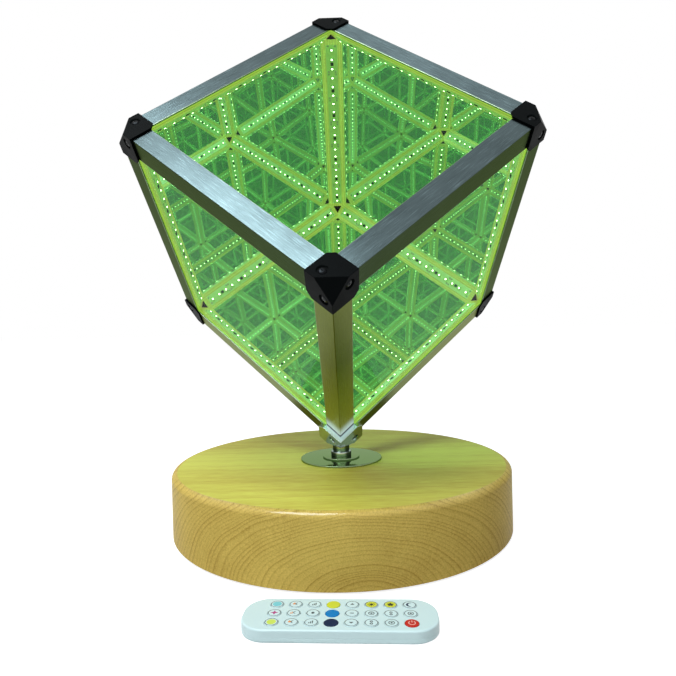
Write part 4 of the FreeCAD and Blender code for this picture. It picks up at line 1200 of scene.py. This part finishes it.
remote_plastic = plastic_material("remote_white_plastic", REMOTE_WHITE, 0.30, 0.42, shine=0.4)
top_levels = [(JOINT_EASE, REMOTE_SPLIT), (0.0, REMOTE_SPLIT + JOINT_EASE)]
top_levels += [(REMOTE_ROUNDING - x, z) for x, z in arc(
    0, REMOTE_HIGH - REMOTE_ROUNDING, REMOTE_ROUNDING, 0, 90, 5)]
holes = [rod(KEY_RADIUS + KEY_GAP, FACE_LOW - 1, REMOTE_HIGH + 1,
             Matrix.Translation((*key_spot(column, row), 0)), 40)
         for row in range(3) for column in range(KEYS_IN_ROW)]
inside = slab([(REMOTE_WALL, REMOTE_SPLIT - 1), (REMOTE_WALL, FACE_LOW)])
piece(carved(slab(top_levels), [inside] + holes), "remote_face_shell", [remote_plastic],
      "remote", ["remote_top"], 40.0, remote_frame)

low_levels = [(REMOTE_ROUNDING * (1 - math.sin(math.radians(a))),
               REMOTE_ROUNDING * (1 - math.cos(math.radians(a)))) for a in (0, 22, 45, 68, 90)]
back_levels = low_levels + [(0.0, REMOTE_SPLIT - JOINT_EASE), (JOINT_EASE, REMOTE_SPLIT)]
inside = slab([(REMOTE_WALL, FLOOR_HIGH), (REMOTE_WALL, REMOTE_SPLIT + 1)])
past_door = brick((-REMOTE_LONG, -REMOTE_WIDE, -1), (DOOR_EDGE, REMOTE_WIDE, FLOOR_HIGH))
back_shell = carved(slab(back_levels), [inside, past_door])
for post_x in POST_X:
    for side in (-1, 1):
        block(back_shell, (post_x, side * POST_Y, (DOOR_THICK + POST_TOP) / 2),
              (POST_WIDE, POST_WIDE, POST_TOP - DOOR_THICK))
piece(back_shell, "remote_back_shell", [remote_plastic], "remote", ["remote_back"],
      40.0, remote_frame)

cuts = [brick((DOOR_EDGE - DOOR_GAP, -REMOTE_WIDE, -1), (REMOTE_LONG, REMOTE_WIDE, 3))]
for n in range(GRIPS):
    grip = GRIP_FIRST + n * GRIP_STEP
    cuts.append(brick((grip, -GRIP_HALF, -1), (grip + GRIP_WIDE, GRIP_HALF, GRIP_DEEP)))
piece(carved(slab(low_levels + [(0.0, DOOR_THICK)]), cuts), "remote_battery_door",
      [remote_plastic], "battery_door", ["battery_door"], 40.0, remote_frame)


# Keys. Round moulded buttons, held under the face by their skirts: white ones with a thin printed
# ring, and four coloured ones. The plain signs are printed on them in layers, each a few flat
# outlines about the key's middle with its ink: dots, stars, suns, bars, arrows and rings.
# The keys' white carries a painted cyan-green cast of the light.
KEY_WHITE = (0.63, 0.78, 0.79)
RING_GREY = (0.085, 0.110, 0.125)
RING_RADIUS = 3.3
RING_HALF = 0.21
KEY_SKIRT = 4.35
SKIRT_HIGH = 0.5
KEY_EASE = 0.25
KEY_EASE_MIDDLE = 0.08
SIGN_LEVEL = 0.04
GREY = (0.040, 0.055, 0.060)
BLACK = (0.020, 0.022, 0.025)
ORANGE = (0.75, 0.25, 0.06)
MAGENTA = (0.45, 0.05, 0.22)
CYAN = (0.20, 0.58, 0.64)
LIME = (0.62, 0.74, 0.12)
YELLOW = (0.62, 0.64, 0.045)
BLUE = (0.0, 0.19, 0.50)
NAVY = (0.003, 0.016, 0.062)
RED = (0.55, 0.025, 0.018)
PINK = (0.78, 0.42, 0.38)


def round_points(radius, steps=24, x=0.0, y=0.0):
    """A circle."""
    return arc(x, y, radius, 0, 360, steps)[:steps]


def star_points(points, outer, inner):
    """A star with one point up."""
    made = []
    for n in range(points * 2):
        angle = math.radians(90 + 180.0 * n / points)
        radius = inner if n % 2 else outer
        made.append((radius * math.cos(angle), radius * math.sin(angle)))
    return made


def box_points(x, y, wide, high):
    """An upright box by its middle."""
    return [(x - wide / 2, y - high / 2), (x + wide / 2, y - high / 2),
            (x + wide / 2, y + high / 2), (x - wide / 2, y + high / 2)]


def bent_points(outer, inner):
    """The outline between two arcs."""
    return outer + inner[::-1]


def ring_points(outer, inner, start=0, end=350, y=0.0):
    """A ring, open by a hair or more."""
    return bent_points(arc(0.0, y, outer, start, end, 18), arc(0.0, y, inner, start, end, 18))


def sun_points(core, ray, width, rays=8):
    """A disc with short rays around it."""
    made = [round_points(core)]
    for n in range(rays):
        turn = math.tau * n / rays
        along, side = (math.cos(turn), math.sin(turn)), (-math.sin(turn), math.cos(turn))
        made.append([(along[0] * out + side[0] * off, along[1] * out + side[1] * off)
                     for out, off in ((core + 0.3, width), (core + 0.3, -width), (ray, -width),
                                      (ray, width))])
    return made


SUN = sun_points(1.0, 2.0, 0.17)
SUN_SMALL = [round_points(0.8, 16, -0.9, 0.3), box_points(-0.9, 1.55, 0.35, 0.6)]
CRESCENT = [bent_points(arc(0.9, 0.2, 1.2, 80, 280, 12), arc(1.4, 0.2, 1.15, 110, 250, 10))]
TWO_BARS = [box_points(-1.6, -0.4, 0.5, 1.3), box_points(-0.8, 0.0, 0.5, 2.1)]
BARS = [box_points(-1.1, -0.7, 0.5, 1.1), box_points(-0.2, -0.3, 0.5, 1.9),
        box_points(0.7, 0.1, 0.5, 2.7)]
ARROW_UP = [[(-1.2, -0.3), (1.2, -0.3), (0.0, 1.1)]]
ARROW_DOWN = [[(-1.2, 0.4), (0.0, -1.0), (1.2, 0.4)]]
DASH = [box_points(0, 0, 2.2, 0.6)]
STAR = [star_points(4, 2.2, 0.9)]
STAR_BLUNT = [star_points(5, 2.0, 1.2)]
SPOT = [round_points(0.9, 16)]
MOON = [bent_points(arc(0, 0, 2.0, 60, 300, 18), arc(0.85, 0, 1.75, 100, 260, 14))]
TWO_RINGS = [ring_points(0.85, 0.4, y=1.05), ring_points(0.85, 0.4, y=-1.05)]
TARGET = [ring_points(1.7, 1.25), round_points(0.6, 12)]
POWER = [ring_points(2.0, 1.45, 125, 415), box_points(0, 1.4, 0.5, 1.9)]
DOT = [round_points(2.5)]
WIDE_DOT = [round_points(3.0)]
KEY_SIGNS = {
    "far": (((DOT, CYAN),), ((SUN_SMALL, ORANGE), (CRESCENT, GREY)), ((BARS, GREY),), (),
            ((ARROW_UP, GREY),), ((WIDE_DOT, YELLOW), (SUN, BLACK)),
            ((WIDE_DOT, YELLOW), (STAR_BLUNT, BLACK)), ((MOON, NAVY),)),
    "middle": (((STAR, MAGENTA),), ((TWO_BARS, ORANGE), (CRESCENT, GREY)), ((SPOT, GREY),), (),
               ((DASH, GREY),), ((TARGET, GREY),), ((TWO_RINGS, GREY),), ((TARGET, GREY),)),
    "near": (((DOT, LIME),), ((SUN_SMALL, ORANGE), (CRESCENT, BLACK)), ((BARS, GREY),), (),
             ((ARROW_DOWN, GREY),), ((TWO_RINGS, GREY),), ((TARGET, GREY),), ((POWER, PINK),))}
COLORED_KEYS = {"far_4": YELLOW, "middle_4": BLUE, "near_4": NAVY, "near_8": RED}
inks = {}


def ink_of(color):
    """The printing ink of one colour, made once."""
    if color not in inks:
        inks[color], tree = blank_material("sign_ink_" + str(len(inks) + 1))
        tone = mottled_tone(tree, 3.0, 2.0, 0.1)
        finish_surface(tree, {"Base Color": scaled(tree, color, tone), "Roughness": 0.45})
    return inks[color]


def ringed_white(tree):
    """The white of a key, with its printed ring."""
    flat = vector_node(tree, "MULTIPLY", millimetres(tree), (1, 1, 0))
    reach = node(tree, "VectorMath", {0: flat}, operation="LENGTH").outputs["Value"]
    off = math_node(tree, "ABSOLUTE", math_node(tree, "SUBTRACT", reach, RING_RADIUS))
    return mixed_color(tree, math_node(tree, "LESS_THAN", off, RING_HALF), KEY_WHITE, RING_GREY)


key_profile = [(0.0, KEY_LOW), (KEY_SKIRT, KEY_LOW), (KEY_SKIRT, KEY_LOW + SKIRT_HIGH),
               (KEY_RADIUS, KEY_LOW + SKIRT_HIGH), (KEY_RADIUS, KEY_HIGH - KEY_EASE),
               (KEY_RADIUS - KEY_EASE_MIDDLE, KEY_HIGH - KEY_EASE_MIDDLE),
               (KEY_RADIUS - KEY_EASE, KEY_HIGH), (0.0, KEY_HIGH)]
white_key = plastic_material("key_white_plastic", ringed_white, 0.35, 0.5, shine=0.4)
key_plastics = {name: plastic_material(f"key_plastic_{number}", color, 0.35, 0.5, shine=0.2,
                                       smear=0.004)
                for number, (name, color) in enumerate(COLORED_KEYS.items(), 1)}
for row, (row_name, signs) in enumerate(KEY_SIGNS.items()):
    for column, layers in enumerate(signs):
        shape = turned(key_profile, 40)
        bmesh.ops.remove_doubles(shape, verts=shape.verts, dist=0.001)
        for index, (outlines, ink) in enumerate(layers, 1):
            top = KEY_HIGH + SIGN_LEVEL * index / len(layers)
            for points in outlines:
                turn = sum(x * v - u * y for (x, y), (u, v) in zip(points, points[1:] + points[:1]))
                points = points if turn > 0 else points[::-1]
                above, below = ([shape.verts.new((x, y, height)) for x, y in points]
                                for height in (top, KEY_HIGH - SIGN_LEVEL))
                walls = zip(above, below, below[1:] + below[:1], above[1:] + above[:1])
                for corners in [above, below[::-1], *walls]:
                    shape.faces.new(corners).material_index = index
        name = f"{row_name}_{column + 1}"
        materials = [key_plastics.get(name, white_key)] + [ink_of(ink) for outlines, ink in layers]
        place = remote_frame @ Matrix.Translation(Vector((*key_spot(column, row), 0)) * MM)
        piece(shape, "round_key_" + name, materials, "key_" + name, ["key_" + name],
              40.0, place)
